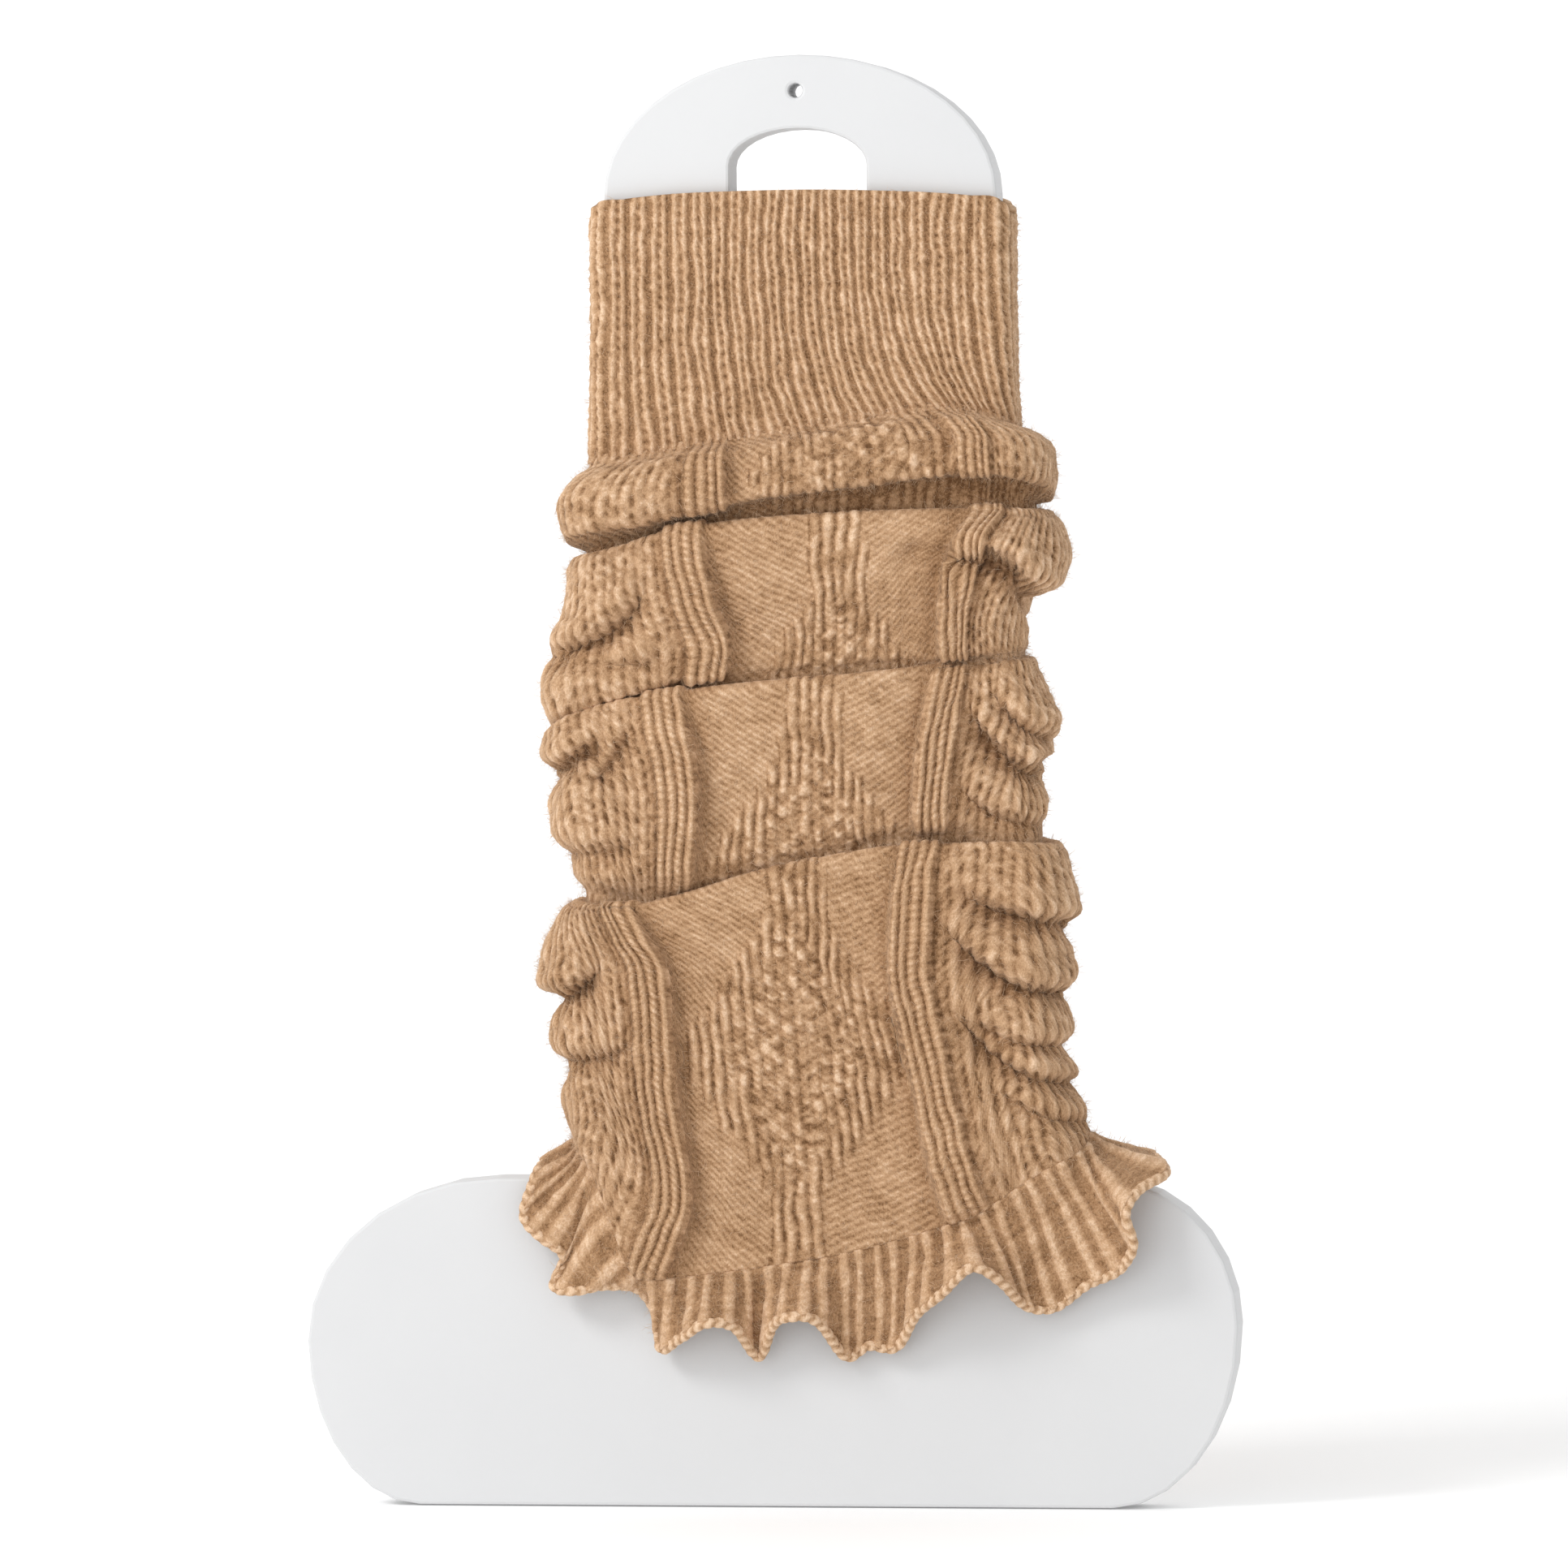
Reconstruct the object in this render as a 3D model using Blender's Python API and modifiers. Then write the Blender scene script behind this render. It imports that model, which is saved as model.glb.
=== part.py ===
"""Knitted leg warmer slouched over a flat display board shaped like a leg and foot.

Units are metres and +Z is up. The front faces -Y. The board stands on the flat lower edge of its
foot, and the origin is in the middle of that edge. Sizes in the tables are in millimetres.

The knit is a wall of even thickness. Its middle surface follows guide lines that run round the
tube (LINES) and a profile down the tube (the rows after LINES, with TUCKS between them). The
outer points carry the ribs, cords and diamonds; the inside is plain.
"""

import math
from collections import namedtuple

import bmesh
import bpy
import numpy as np

MM = 0.001
COLLECTION = "leg_warmer_on_display_board"

# ---------------------------------------------------------------- display board
BOARD_THICKNESS = 18.0
BOARD_EDGE = 1.5
LEG_LEFT = -48.6
LEG_RIGHT = 73.2
BOARD_TOP = 447.5
ARCH_FOOT = 404.5
FOOT_TOP = 101.5
FOOT_HALF = 145.0
CORNER_SEGMENTS = 7
ARCH_SEGMENTS = 22
ANKLE_FILLET = 7.0
FILLET_SEGMENTS = 4
SLOT_LEFT = -9.6
SLOT_RIGHT = 33.1
SLOT_TOP = 424.8
SLOT_SPRING = 413.5
SLOT_BOTTOM = 401.0
SLOT_CORNER = 5.0
HANG_HOLE_X = 11.2
HANG_HOLE_Z = 436.5
HANG_HOLE_RADIUS = 2.2

# Quarter ellipses at the corners of the foot: reach along X and along Z.
Corner = namedtuple("Corner", "name reach_x reach_z")
FOOT_CORNERS = (
    Corner("toe_top", 60.0, 50.7),
    Corner("toe_bottom", 35.0, 50.7),
    Corner("heel_bottom", 39.0, 56.2),
    Corner("heel_top", 42.5, 45.0),
)

# ---------------------------------------------------------------- knit wall
WALL = 2.2
LEAST_WALL = 1.2
SNUG_DEPTH = 10.9
TUBE_CENTRE = 12.4
SEAM_GAP = 0.8
CUFF_CORNER = 5.5
LEG_CORNER = 12.0

# Places round the tube, as a share of the whole turn. 0 is the left edge, 0.5 the right one, and
# the front lies between them.
STATIONS = (0.0, 0.067, 0.134, 0.25, 0.366, 0.433, 0.5)
BAND_LEFT, CENTRE, BAND_RIGHT = STATIONS[2], STATIONS[3], STATIONS[4]
BAND_HALF = 0.0165
BAND_CORDS = 4
BAND_RAISE = 1.3
SIDE_STEP = 2.2
SIDE_STEP_WIDTH = 0.010

# Guide lines round the tube: heights at the seven places, X of the left band, the middle and the
# right band, and how far the tube reaches to the left and right.
Line = namedtuple("Line", "name z_l z_m z_a z_c z_b z_n z_r x_a x_c x_b reach_l reach_r")
LINES = (
    Line("cuff_top", 399.2, 404.0, 405.5, 406.0, 405.2, 403.8, 399.2, -18.6, 12.4, 43.4, -53.0, 77.0),
    Line("cuff_end", 324.2, 325.8, 329.8, 334.8, 339.0, 337.2, 332.8, -14.6, 20.4, 56.6, -54.2, 78.2),
    Line("roll_crown", 307.2, 312.2, 316.8, 322.2, 325.2, 324.2, 321.0, -15.1, 24.1, 68.4, -63.6, 88.9),
    Line("roll_low", 297.8, 301.0, 306.2, 312.2, 315.5, 315.2, 313.2, -15.6, 24.4, 68.9, -62.6, 88.9),
    Line("roll_end", 288.2, 292.2, 298.8, 302.5, 303.8, 303.0, 302.0, -17.1, 23.9, 68.4, -55.6, 83.4),
    Line("tuck_1", 292.2, 296.8, 303.5, 307.2, 308.5, 307.8, 306.5, -20.1, 23.4, 66.6, -61.1, 89.4),
    Line("leg_1", 278.5, 279.2, 281.0, 284.8, 289.2, 291.8, 293.2, -18.1, 23.4, 62.9, -62.4, 93.4),
    Line("leg_1_low", 249.8, 258.5, 266.0, 269.8, 271.8, 273.5, 273.8, -14.6, 22.9, 61.1, -70.6, 81.4),
    Line("leg_1_end", 229.8, 242.2, 247.8, 252.0, 254.8, 256.2, 256.2, -20.6, 22.9, 60.4, -63.6, 79.4),
    Line("tuck_2", 233.5, 247.2, 252.5, 256.8, 259.8, 260.8, 260.8, -30.9, 15.4, 59.4, -69.6, 82.4),
    Line("leg_2", 213.5, 218.5, 223.5, 228.5, 232.2, 236.0, 239.8, -25.1, 15.4, 54.1, -67.6, 89.4),
    Line("leg_2_end", 184.2, 182.8, 182.2, 194.8, 200.8, 201.0, 199.8, -30.1, 15.4, 51.6, -56.6, 84.4),
    Line("tuck_3", 188.0, 187.2, 186.8, 199.2, 205.5, 205.8, 204.2, -47.6, 6.6, 48.4, -62.1, 90.9),
    Line("leg_3", 168.5, 167.8, 164.8, 167.2, 169.8, 177.2, 184.8, -35.1, 8.4, 45.6, -70.6, 94.6),
    Line("leg_3_mid", 142.2, 137.2, 128.5, 131.0, 135.2, 144.8, 152.2, -31.6, 11.4, 52.4, -66.4, 92.4),
    Line("leg_3_low", 128.5, 121.0, 98.0, 101.0, 108.5, 121.0, 131.0, -28.6, 12.9, 58.4, -64.6, 95.9),
    Line("hem_seam", 116.8, 104.0, 71.0, 77.2, 90.5, 104.8, 115.2, -38.6, 15.4, 64.1, -59.9, 99.9),
)
LINE_AT = {line.name: index for index, line in enumerate(LINES)}

# Heights at the same seven places on the back, where they differ from the front.
BackLine = namedtuple("BackLine", "name z_l z_m z_a z_c z_b z_n z_r")
BACK_LINES = (
    BackLine("leg_3_low", 128.5, 122.0, 110.0, 103.0, 110.0, 121.0, 131.0),
    BackLine("hem_seam", 116.8, 104.6, 88.0, 79.0, 87.0, 104.8, 115.2),
)

# Profile down the leg. A row lies a share of the way from its line to the next one. Its distance
# off the board is a share of the last tuck's step plus a length at the left, middle and right.
# "sides" says how much of the side step, and of the creases, the row takes.
Row = namedtuple("Row", "line share drop step out_l out_c out_r sides")
ROLL_ROWS = (
    Row("cuff_end", 0.00, 1.2, 0.0, 0.0, 0.0, 0.0, 0.0),
    Row("cuff_end", 0.16, 2.0, 0.0, 2.2, 2.0, 2.6, 0.1),
    Row("cuff_end", 0.50, 0.0, 0.0, 7.2, 7.0, 8.4, 0.5),
    Row("roll_crown", 0.00, 0.0, 0.0, 9.0, 9.4, 11.0, 0.6),
    Row("roll_crown", 0.50, 0.0, 0.0, 9.4, 10.0, 11.8, 0.4),
    Row("roll_low", 0.00, -0.6, 0.0, 8.0, 8.6, 10.4, 0.2),
    Row("roll_low", 0.00, 1.0, 0.0, 3.8, 2.6, 2.4, 0.1),
)
UPPER_ROWS = (
    Row("tuck_1", 0.25, 0.0, 0.97, 0.6, 0.0, 1.4, 0.3),
    Row("tuck_1", 0.65, 0.0, 0.92, 1.6, 0.0, 3.0, 1.0),
    Row("leg_1", 0.10, 0.0, 0.80, 2.0, 0.0, 2.6, 1.0),
    Row("leg_1", 0.55, 0.0, 0.58, 1.6, 0.2, 0.6, 1.0),
    Row("leg_1_low", 0.00, 0.0, 0.38, 2.2, 0.2, 0.6, 1.0),
    Row("leg_1_low", 0.45, 0.0, 0.20, 1.2, 0.2, 0.5, 0.6),
)
MIDDLE_ROWS = (
    Row("tuck_2", 0.18, 0.0, 0.98, 0.5, 0.0, 1.0, 0.3),
    Row("tuck_2", 0.55, 0.0, 0.95, 1.8, 0.0, 2.4, 1.0),
    Row("leg_2", 0.00, 0.0, 0.85, 2.4, 0.0, 3.0, 1.0),
    Row("leg_2", 0.32, 0.0, 0.66, 2.2, 0.2, 2.6, 1.0),
    Row("leg_2", 0.62, 0.0, 0.40, 1.4, 0.2, 1.6, 0.9),
)
LOWER_ROWS = (
    Row("tuck_3", 0.16, 0.0, 0.98, 0.5, 0.0, 0.6, 0.3),
    Row("tuck_3", 0.55, 0.0, 0.95, 2.0, 0.0, 1.8, 1.0),
    Row("leg_3", 0.00, 0.0, 0.90, 3.0, 0.2, 2.6, 1.0),
    Row("leg_3", 0.33, 0.0, 0.86, 2.8, 0.3, 2.6, 1.0),
    Row("leg_3", 0.67, 0.0, 0.82, 2.6, 0.3, 2.6, 1.0),
    Row("leg_3_mid", 0.00, 0.0, 0.78, 2.6, 0.2, 2.6, 1.0),
    Row("leg_3_mid", 0.50, 0.0, 0.76, 2.8, 0.1, 2.6, 1.0),
    Row("leg_3_low", 0.00, 0.0, 0.74, 3.0, 0.1, 2.4, 1.0),
    Row("leg_3_low", 0.50, 0.0, 0.74, 2.6, 0.2, 1.8, 0.8),
    Row("hem_seam", 0.00, 0.0, 0.74, 2.0, 0.4, 1.2, 0.5),
)

# Upward-lapping tucks. Each is a fold of the wall whose turning angle dies out with its fullness.
Tuck = namedtuple("Tuck", "line above full_l full_c full_r lead_out")
TUCKS = (
    Tuck("tuck_1", "roll_end", 1.00, 1.00, 1.00, 0.5),
    Tuck("tuck_2", "leg_1_end", 1.00, 1.00, 0.30, 0.4),
    Tuck("tuck_3", "leg_2_end", 1.00, 1.00, 0.90, 0.4),
)
VALLEY_RADIUS = 1.90
CREST_RADIUS = 1.65
TUCK_LAP = 3.4
LEAD_ABOVE = 2.6
VALLEY_TURNS = (0.0, 0.5, 1.0)
CREST_TURNS = (1.0, 0.66, 0.33, 0.0)

# Soft creases of the slouched sides: from (x0, z0) to (x1, z1), bowed, with a depth and half width.
Crease = namedtuple("Crease", "name face x0 z0 x1 z1 bow depth half")
CREASES = (
    Crease("left_upper", -1, -62.1, 264.2, -33.4, 284.2, -3.5, 4.8, 4.4),
    Crease("left_upper_fan", -1, -59.6, 261.8, -26.1, 263.2, -1.5, 2.4, 4.0),
    Crease("left_pocket", -1, -68.6, 228.2, -47.6, 238.5, -1.5, 6.0, 4.4),
    Crease("left_pocket_fan", -1, -50.9, 225.2, -38.6, 243.5, -1.0, 3.6, 3.8),
    Crease("left_middle", -1, -65.6, 203.2, -36.6, 206.2, -1.5, 3.0, 4.4),
    Crease("left_low_pocket", -1, -70.6, 156.8, -48.4, 167.2, -2.0, 6.0, 4.4),
    Crease("left_low_fan", -1, -66.6, 138.8, -39.1, 142.8, -1.5, 3.2, 4.4),
    Crease("right_roll", -1, 86.4, 275.2, 64.4, 290.8, 6.5, 7.6, 5.0),
    Crease("right_fan_1", -1, 92.4, 235.8, 70.4, 252.2, -2.5, 4.4, 3.8),
    Crease("right_fan_2", -1, 91.4, 224.2, 63.9, 246.8, -4.5, 6.2, 4.4),
    Crease("right_fan_3", -1, 90.4, 208.8, 60.4, 222.8, -3.5, 3.8, 4.0),
    Crease("right_fan_4", -1, 97.9, 180.2, 57.4, 192.2, -3.0, 5.4, 4.2),
    Crease("right_fan_5", -1, 96.9, 158.2, 55.9, 180.8, -5.5, 6.0, 4.4),
    Crease("right_fan_6", -1, 95.9, 142.2, 62.4, 152.2, -2.5, 3.4, 3.8),
    Crease("right_fan_7", -1, 95.4, 130.2, 58.9, 154.8, -5.0, 5.2, 4.2),
    Crease("right_low", -1, 101.9, 117.2, 69.4, 132.2, -2.5, 2.8, 4.4),
    Crease("back_left_1", 1, -64.0, 262.0, -28.0, 276.0, -3.0, 4.6, 4.6),
    Crease("back_left_2", 1, -69.0, 226.0, -30.0, 232.0, -3.0, 5.4, 4.6),
    Crease("back_left_3", 1, -71.0, 157.0, -36.0, 150.0, 2.5, 5.6, 4.6),
    Crease("back_left_4", 1, -66.0, 136.0, -20.0, 128.0, 2.0, 3.8, 4.8),
    Crease("back_mid_1", 1, -10.0, 228.0, 34.0, 222.0, 3.0, 2.6, 5.0),
    Crease("back_mid_2", 1, -6.0, 150.0, 40.0, 158.0, -3.0, 3.4, 5.0),
    Crease("back_right_1", 1, 90.0, 272.0, 50.0, 282.0, -3.0, 5.2, 4.6),
    Crease("back_right_2", 1, 92.0, 230.0, 54.0, 240.0, -4.0, 5.2, 4.6),
    Crease("back_right_3", 1, 98.0, 178.0, 60.0, 170.0, 3.0, 5.4, 4.6),
    Crease("back_right_4", 1, 97.0, 142.0, 52.0, 134.0, 3.0, 4.4, 4.6),
)

# Moss-stitch diamonds down the middle of the front.
Diamond = namedtuple("Diamond", "name panel x z half_x half_z")
DIAMONDS = (
    Diamond("roll", 0, 33.0, 318.0, 36.0, 40.0),
    Diamond("upper", 1, 22.9, 256.8, 23.0, 23.0),
    Diamond("middle", 2, 14.9, 192.2, 43.0, 47.5),
    Diamond("lower", 3, 10.4, 138.5, 37.5, 53.8),
)
DIAMOND_RAISE = 0.7
DIAMOND_EDGE = 0.12

# ---------------------------------------------------------------- ribs of the cuff and the hem
CUFF_RIBS = 48
CUFF_RIB_RAISE = (0.0, 0.9, 0.5, 0.9)
CUFF_ROWS = (0.0, 0.04, 0.45, 0.76, 1.0)
CUFF_BEND = 2.8
CUFF_TOP_ROUND = 5.0
CUFF_TOP_SIDE = 403.6
CUFF_INNER_ROWS = (0.0, 0.45, 1.0)
HEM_RIBS = 72
HEM_RIB_RAISE = 0.7
HEM_WALL = 2.0
HEM_ROWS = (0.0, 0.12, 0.34, 0.60, 0.84, 1.0)
HEM_INNER_ROWS = (0.0, 0.20, 0.50, 0.80, 1.0)
HEM_START_PULL = 0.75
HEM_END_PULL = 1.0
# Ribs of the hem are closer together across the middle of the front.
HEM_RIB_SPREAD = ((0.0, 0.0), (9.0, 0.134), (27.0, 0.366), (36.0, 0.5), (72.0, 1.0))

# Edge of the hem, by rib: X, height and depth in front of the middle plane. It meets the board at
# its tips and stands off it at its arches.
HemPoint = namedtuple("HemPoint", "rib x z depth")
HEM_FRONT = (
    HemPoint(0.0, -69.1, 106.4, 0.0),
    HemPoint(0.9, -71.3, 105.0, 9.0),
    HemPoint(1.8, -73.3, 99.0, 14.5),
    HemPoint(3.0, -75.1, 89.8, 17.0),
    HemPoint(4.0, -70.1, 84.2, 18.5),
    HemPoint(4.9, -63.1, 78.5, 17.0),
    HemPoint(6.1, -65.9, 68.5, 17.0),
    HemPoint(7.0, -59.1, 67.5, 20.0),
    HemPoint(8.0, -49.1, 69.0, 17.5),
    HemPoint(8.9, -38.4, 66.5, 15.5),
    HemPoint(9.3, -35.0, 61.0, 14.5),
    HemPoint(10.0, -33.4, 49.8, 15.0),
    HemPoint(10.9, -26.6, 52.8, 21.0),
    HemPoint(12.6, -17.1, 58.2, 27.0),
    HemPoint(13.95, -8.9, 56.5, 23.0),
    HemPoint(15.1, -2.1, 47.2, 14.5),
    HemPoint(15.8, 2.4, 56.5, 21.0),
    HemPoint(16.95, 9.1, 60.2, 27.0),
    HemPoint(18.4, 17.4, 58.0, 23.5),
    HemPoint(19.6, 24.1, 47.2, 14.5),
    HemPoint(20.9, 30.9, 50.2, 14.0),
    HemPoint(22.8, 41.4, 51.2, 15.5),
    HemPoint(23.8, 46.9, 60.2, 21.0),
    HemPoint(25.0, 55.4, 67.2, 27.0),
    HemPoint(26.3, 66.4, 76.0, 31.0),
    HemPoint(27.3, 74.4, 70.8, 26.0),
    HemPoint(28.2, 79.6, 63.8, 18.0),
    HemPoint(29.4, 87.9, 62.0, 14.5),
    HemPoint(31.0, 99.4, 69.5, 16.5),
    HemPoint(32.6, 111.1, 75.8, 20.0),
    HemPoint(33.5, 114.6, 83.2, 25.0),
    HemPoint(34.2, 112.6, 92.2, 27.0),
    HemPoint(34.9, 116.4, 99.2, 22.0),
    HemPoint(35.5, 123.4, 103.6, 12.0),
)
# The back hangs in even waves: their count, mean height and depth, and how far they swing.
BACK_WAVES = 6
BACK_HEM_RIGHT = 119.9
BACK_HEM_LEFT = -69.1
BACK_HEM_TOP = 106.6
BACK_HEM_Z = 62.0
BACK_HEM_SWING = 6.0
BACK_HEM_DEPTH = 22.6
BACK_HEM_WAVE = 7.7
BACK_HEM_FALL = 2.0
BACK_HEM_SPREAD = 7.0
BACK_POINTS_PER_WAVE = 4

# ---------------------------------------------------------------- grid of the leg's wall
# Columns are closer together where the tube turns round the edges of the board.
SIDE_COLUMNS = (0.0, 0.014, 0.023, 0.032, 0.042, 0.055, 0.070, 0.086, 0.102)
CORD_COLUMNS = 9
MIDDLE_COLUMNS = 9
BACK_SIDE_COLUMNS = (0.0, 0.017, 0.028, 0.038, 0.050, 0.068)
BACK_MIDDLE_COLUMNS = 14
# Rows of a tuck that the inside keeps, and the one where its valley and crest meet.
INNER_TUCK_ROWS = (0, 1, 2, 3, 5, 7)
SHARED_TURN = 4
SMALL_STEP = 0.004
BACK_SWAY = 1.5
BOARD_CLEARANCE = 0.7


def pchip(knots, values, at):
    """Monotone cubic through (knots, values) along the last axis of values, read at points at."""
    x = np.asarray(knots, float)
    y = np.asarray(values, float)
    h = np.diff(x)
    d = np.diff(y, axis=-1) / h
    m = np.zeros_like(y)
    product = d[..., :-1] * d[..., 1:]
    w1 = 2 * h[1:] + h[:-1]
    w2 = h[1:] + 2 * h[:-1]
    with np.errstate(divide="ignore", invalid="ignore"):
        mean = (w1 + w2) / (w1 / d[..., :-1] + w2 / d[..., 1:])
    m[..., 1:-1] = np.where(product > 0, np.nan_to_num(mean), 0.0)
    m[..., 0] = d[..., 0]
    m[..., -1] = d[..., -1]
    a = np.clip(np.asarray(at, float), x[0], x[-1])
    k = np.clip(np.searchsorted(x, a, side="right") - 1, 0, len(x) - 2)
    t = (a - x[k]) / h[k]
    return (
        (2 * t**3 - 3 * t**2 + 1) * y[..., k]
        + (t**3 - 2 * t**2 + t) * h[k] * m[..., k]
        + (3 * t**2 - 2 * t**3) * y[..., k + 1]
        + (t**3 - t**2) * h[k] * m[..., k + 1]
    )


def smooth(low, high, value):
    """Smooth step from 0 at low to 1 at high."""
    t = np.clip((value - low) / (high - low), 0.0, 1.0)
    return t * t * (3 - 2 * t)


def front_share(u):
    """Share of the turn folded on to the front, so that the back takes the same guide lines."""
    u = np.mod(u, 1.0)
    return np.where(u <= 0.5, u, 1.0 - u)


def line_heights(u):
    """Height of every guide line at shares u of the turn."""
    front = np.array([line[1:8] for line in LINES])
    back = front.copy()
    for line in BACK_LINES:
        back[LINE_AT[line.name]] = line[1:]
    turn = np.mod(u, 1.0)
    bump = np.sin(np.clip(turn - 0.5, 0.0, 0.5) * 2 * np.pi)
    sway = np.array([BACK_SWAY * math.sin(1.7 * index) for index in range(len(LINES))])
    sway[:2] = 0.0
    on_front = pchip(STATIONS, front, front_share(u))
    on_back = pchip(STATIONS, back, front_share(u)) + sway[:, None] * bump
    return np.where(turn <= 0.5, on_front, on_back)


def across(u, left, middle, right):
    """Value that runs from the left side over the middle to the right side."""
    f = front_share(u)
    return pchip((0.0, 0.10, CENTRE, 0.40, 0.5), (left, left, middle, right, right), f)


def side_share(u):
    """1 on the sides and rib bands, 0 on the middle panel; the back has only a faint step."""
    f = front_share(u)
    inner_left = BAND_LEFT + BAND_HALF
    inner_right = BAND_RIGHT - BAND_HALF
    left = 1 - smooth(inner_left, inner_left + SIDE_STEP_WIDTH, f)
    right = smooth(inner_right - SIDE_STEP_WIDTH, inner_right, f)
    turn = np.mod(u, 1.0)
    soft = 1 - smooth(0.08, 0.19, f) + smooth(0.31, 0.42, f)
    return np.where(turn <= 0.5, left + right, 0.8 * soft)


def tuck_path(tuck, u):
    """Control rows of one tuck at shares u: height from its crest line, step outward and progress."""
    full = np.clip(across(u, tuck.full_l, tuck.full_c, tuck.full_r), 0.05, 1.0)
    turn = np.pi * full
    lap = TUCK_LAP * full
    both = VALLEY_RADIUS + CREST_RADIUS
    whole = both * (1 - np.cos(turn)) + lap * np.sin(turn)
    outs, drops = [], []
    for share in VALLEY_TURNS:
        a = turn * share
        outs.append(VALLEY_RADIUS * (1 - np.cos(a)))
        drops.append(-VALLEY_RADIUS * np.sin(a))
    start_out = VALLEY_RADIUS * (1 - np.cos(turn)) + lap * np.sin(turn)
    start_drop = -VALLEY_RADIUS * np.sin(turn) - lap * np.cos(turn)
    for share in CREST_TURNS:
        a = turn * share
        outs.append(start_out + CREST_RADIUS * (np.cos(a) - np.cos(turn)))
        drops.append(start_drop - CREST_RADIUS * (np.sin(turn) - np.sin(a)))
    top = start_drop - CREST_RADIUS * (np.sin(turn) - np.sin(turn / 2)) + WALL / 2 * np.sin(turn / 2)
    return np.array(outs), np.array(drops) - top, whole


def control_rows(u):
    """Profile of the leg at shares u: height, distance out, guide position, side and raise shares."""
    heights = line_heights(u)
    z, out, guide, sides, raised = [], [], [], [], []

    def add_rows(rows, step):
        for row in rows:
            at = LINE_AT[row.line]
            below = heights[min(at + 1, len(LINES) - 1)]
            z.append(heights[at] * (1 - row.share) + below * row.share - row.drop)
            out.append(row.step * step + across(u, row.out_l, row.out_c, row.out_r))
            guide.append(np.full(len(u), at + row.share))
            sides.append(row.sides)
            raised.append(min(1.0, 2.0 * row.sides) if row.line != "cuff_end" else row.sides)

    def add_tuck(tuck):
        crest, above = LINE_AT[tuck.line], LINE_AT[tuck.above]
        outs, drops, whole = tuck_path(tuck, u)
        z.append(heights[crest] + LEAD_ABOVE)
        out.append(np.full(len(u), tuck.lead_out + 0.4))
        guide.append(np.full(len(u), above - 0.1))
        sides.append(0.0)
        raised.append(0.0)
        lead = tuck.lead_out * 0.5
        valley = len(VALLEY_TURNS)
        for index in range(len(outs)):
            z.append(heights[crest] + drops[index])
            out.append(lead + outs[index])
            guide.append(above + outs[index] / whole)
            sides.append(0.0)
            raised.append(0.0 if index <= valley + 1 else 0.5)
        return whole + lead

    add_rows(ROLL_ROWS, np.zeros(len(u)))
    for tuck, rows in zip(TUCKS, (UPPER_ROWS, MIDDLE_ROWS, LOWER_ROWS)):
        add_rows(rows, add_tuck(tuck))
    return np.array(z), np.array(out), np.array(guide), np.array(sides), np.array(raised)


def hermite(values, knots, k, t):
    """Cubic through rows of values with knots of its own in each column, read at segment k, share t."""
    h = np.diff(knots, axis=0)
    d = np.diff(values, axis=0) / h
    m = np.empty_like(values)
    m[0] = d[0]
    m[-1] = d[-1]
    m[1:-1] = (d[:-1] * h[1:] + d[1:] * h[:-1]) / (h[:-1] + h[1:])
    t = t[:, None]
    return (
        (2 * t**3 - 3 * t**2 + 1) * values[k]
        + (t**3 - 2 * t**2 + t) * h[k] * m[k]
        + (3 * t**2 - 2 * t**3) * values[k + 1]
        + (t**3 - t**2) * h[k] * m[k + 1]
    )


def clear_corner(reach, depth, largest):
    """Largest corner radius of the tube that keeps clear of the board's edge."""
    margin = BOARD_EDGE + WALL / 2 + BOARD_CLEARANCE
    a = np.maximum(reach + BOARD_EDGE - margin, 0.0)
    b = np.maximum(depth - BOARD_THICKNESS / 2 + BOARD_EDGE - margin, 0.0)
    return np.minimum(np.minimum(a + b + margin + np.sqrt(2 * a * b), largest), depth)


def section(u, x_a, x_c, x_b, left, right, depth, corner):
    """Points round a flattened tube, with their outward directions in plan."""
    turn = np.broadcast_to(np.mod(u, 1.0), x_a.shape)
    r1 = clear_corner(LEG_LEFT - left, depth, corner)
    r2 = clear_corner(right - LEG_RIGHT, depth, corner)
    s1 = depth - r1
    s2 = s1 + np.pi * r1 / 2
    s3 = s2 + (right - left - r1 - r2)
    s4 = s3 + np.pi * r2 / 2
    total = s4 + depth - r2
    at_a = s2 + x_a - (left + r1)
    at_c = s2 + x_c - (left + r1)
    at_b = s2 + x_b - (left + r1)
    knots = (0.0, BAND_LEFT, CENTRE, BAND_RIGHT, 0.5)
    stops = (np.zeros_like(total), at_a, at_c, at_b, total)
    front = np.zeros_like(total)
    for k in range(4):
        inside = (turn >= knots[k]) & (turn <= knots[k + 1])
        share = (turn - knots[k]) / (knots[k + 1] - knots[k])
        front = np.where(inside, stops[k] + (stops[k + 1] - stops[k]) * share, front)
    back = total * (1 - turn) * 2
    is_front = turn <= 0.5
    s = np.where(is_front, front, back)
    bend_1 = (s - s1) / r1
    bend_2 = (s - s3) / r2
    cases = [s < s1, s < s2, s < s3, s < s4]
    x = np.select(
        cases,
        [left, left + r1 * (1 - np.cos(bend_1)), left + r1 + s - s2, right - r2 + r2 * np.sin(bend_2)],
        right,
    )
    y = np.select(
        cases,
        [s, s1 + r1 * np.sin(bend_1), depth, depth - r2 + r2 * np.cos(bend_2)],
        total - s,
    )
    nx = np.select(cases, [-1.0, -np.cos(bend_1), 0.0, np.sin(bend_2)], 1.0)
    ny = np.select(cases, [0.0, np.sin(bend_1), 1.0, np.cos(bend_2)], 0.0)
    sign = np.where(is_front, -1.0, 1.0)
    return x, y * sign, nx, ny * sign


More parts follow.
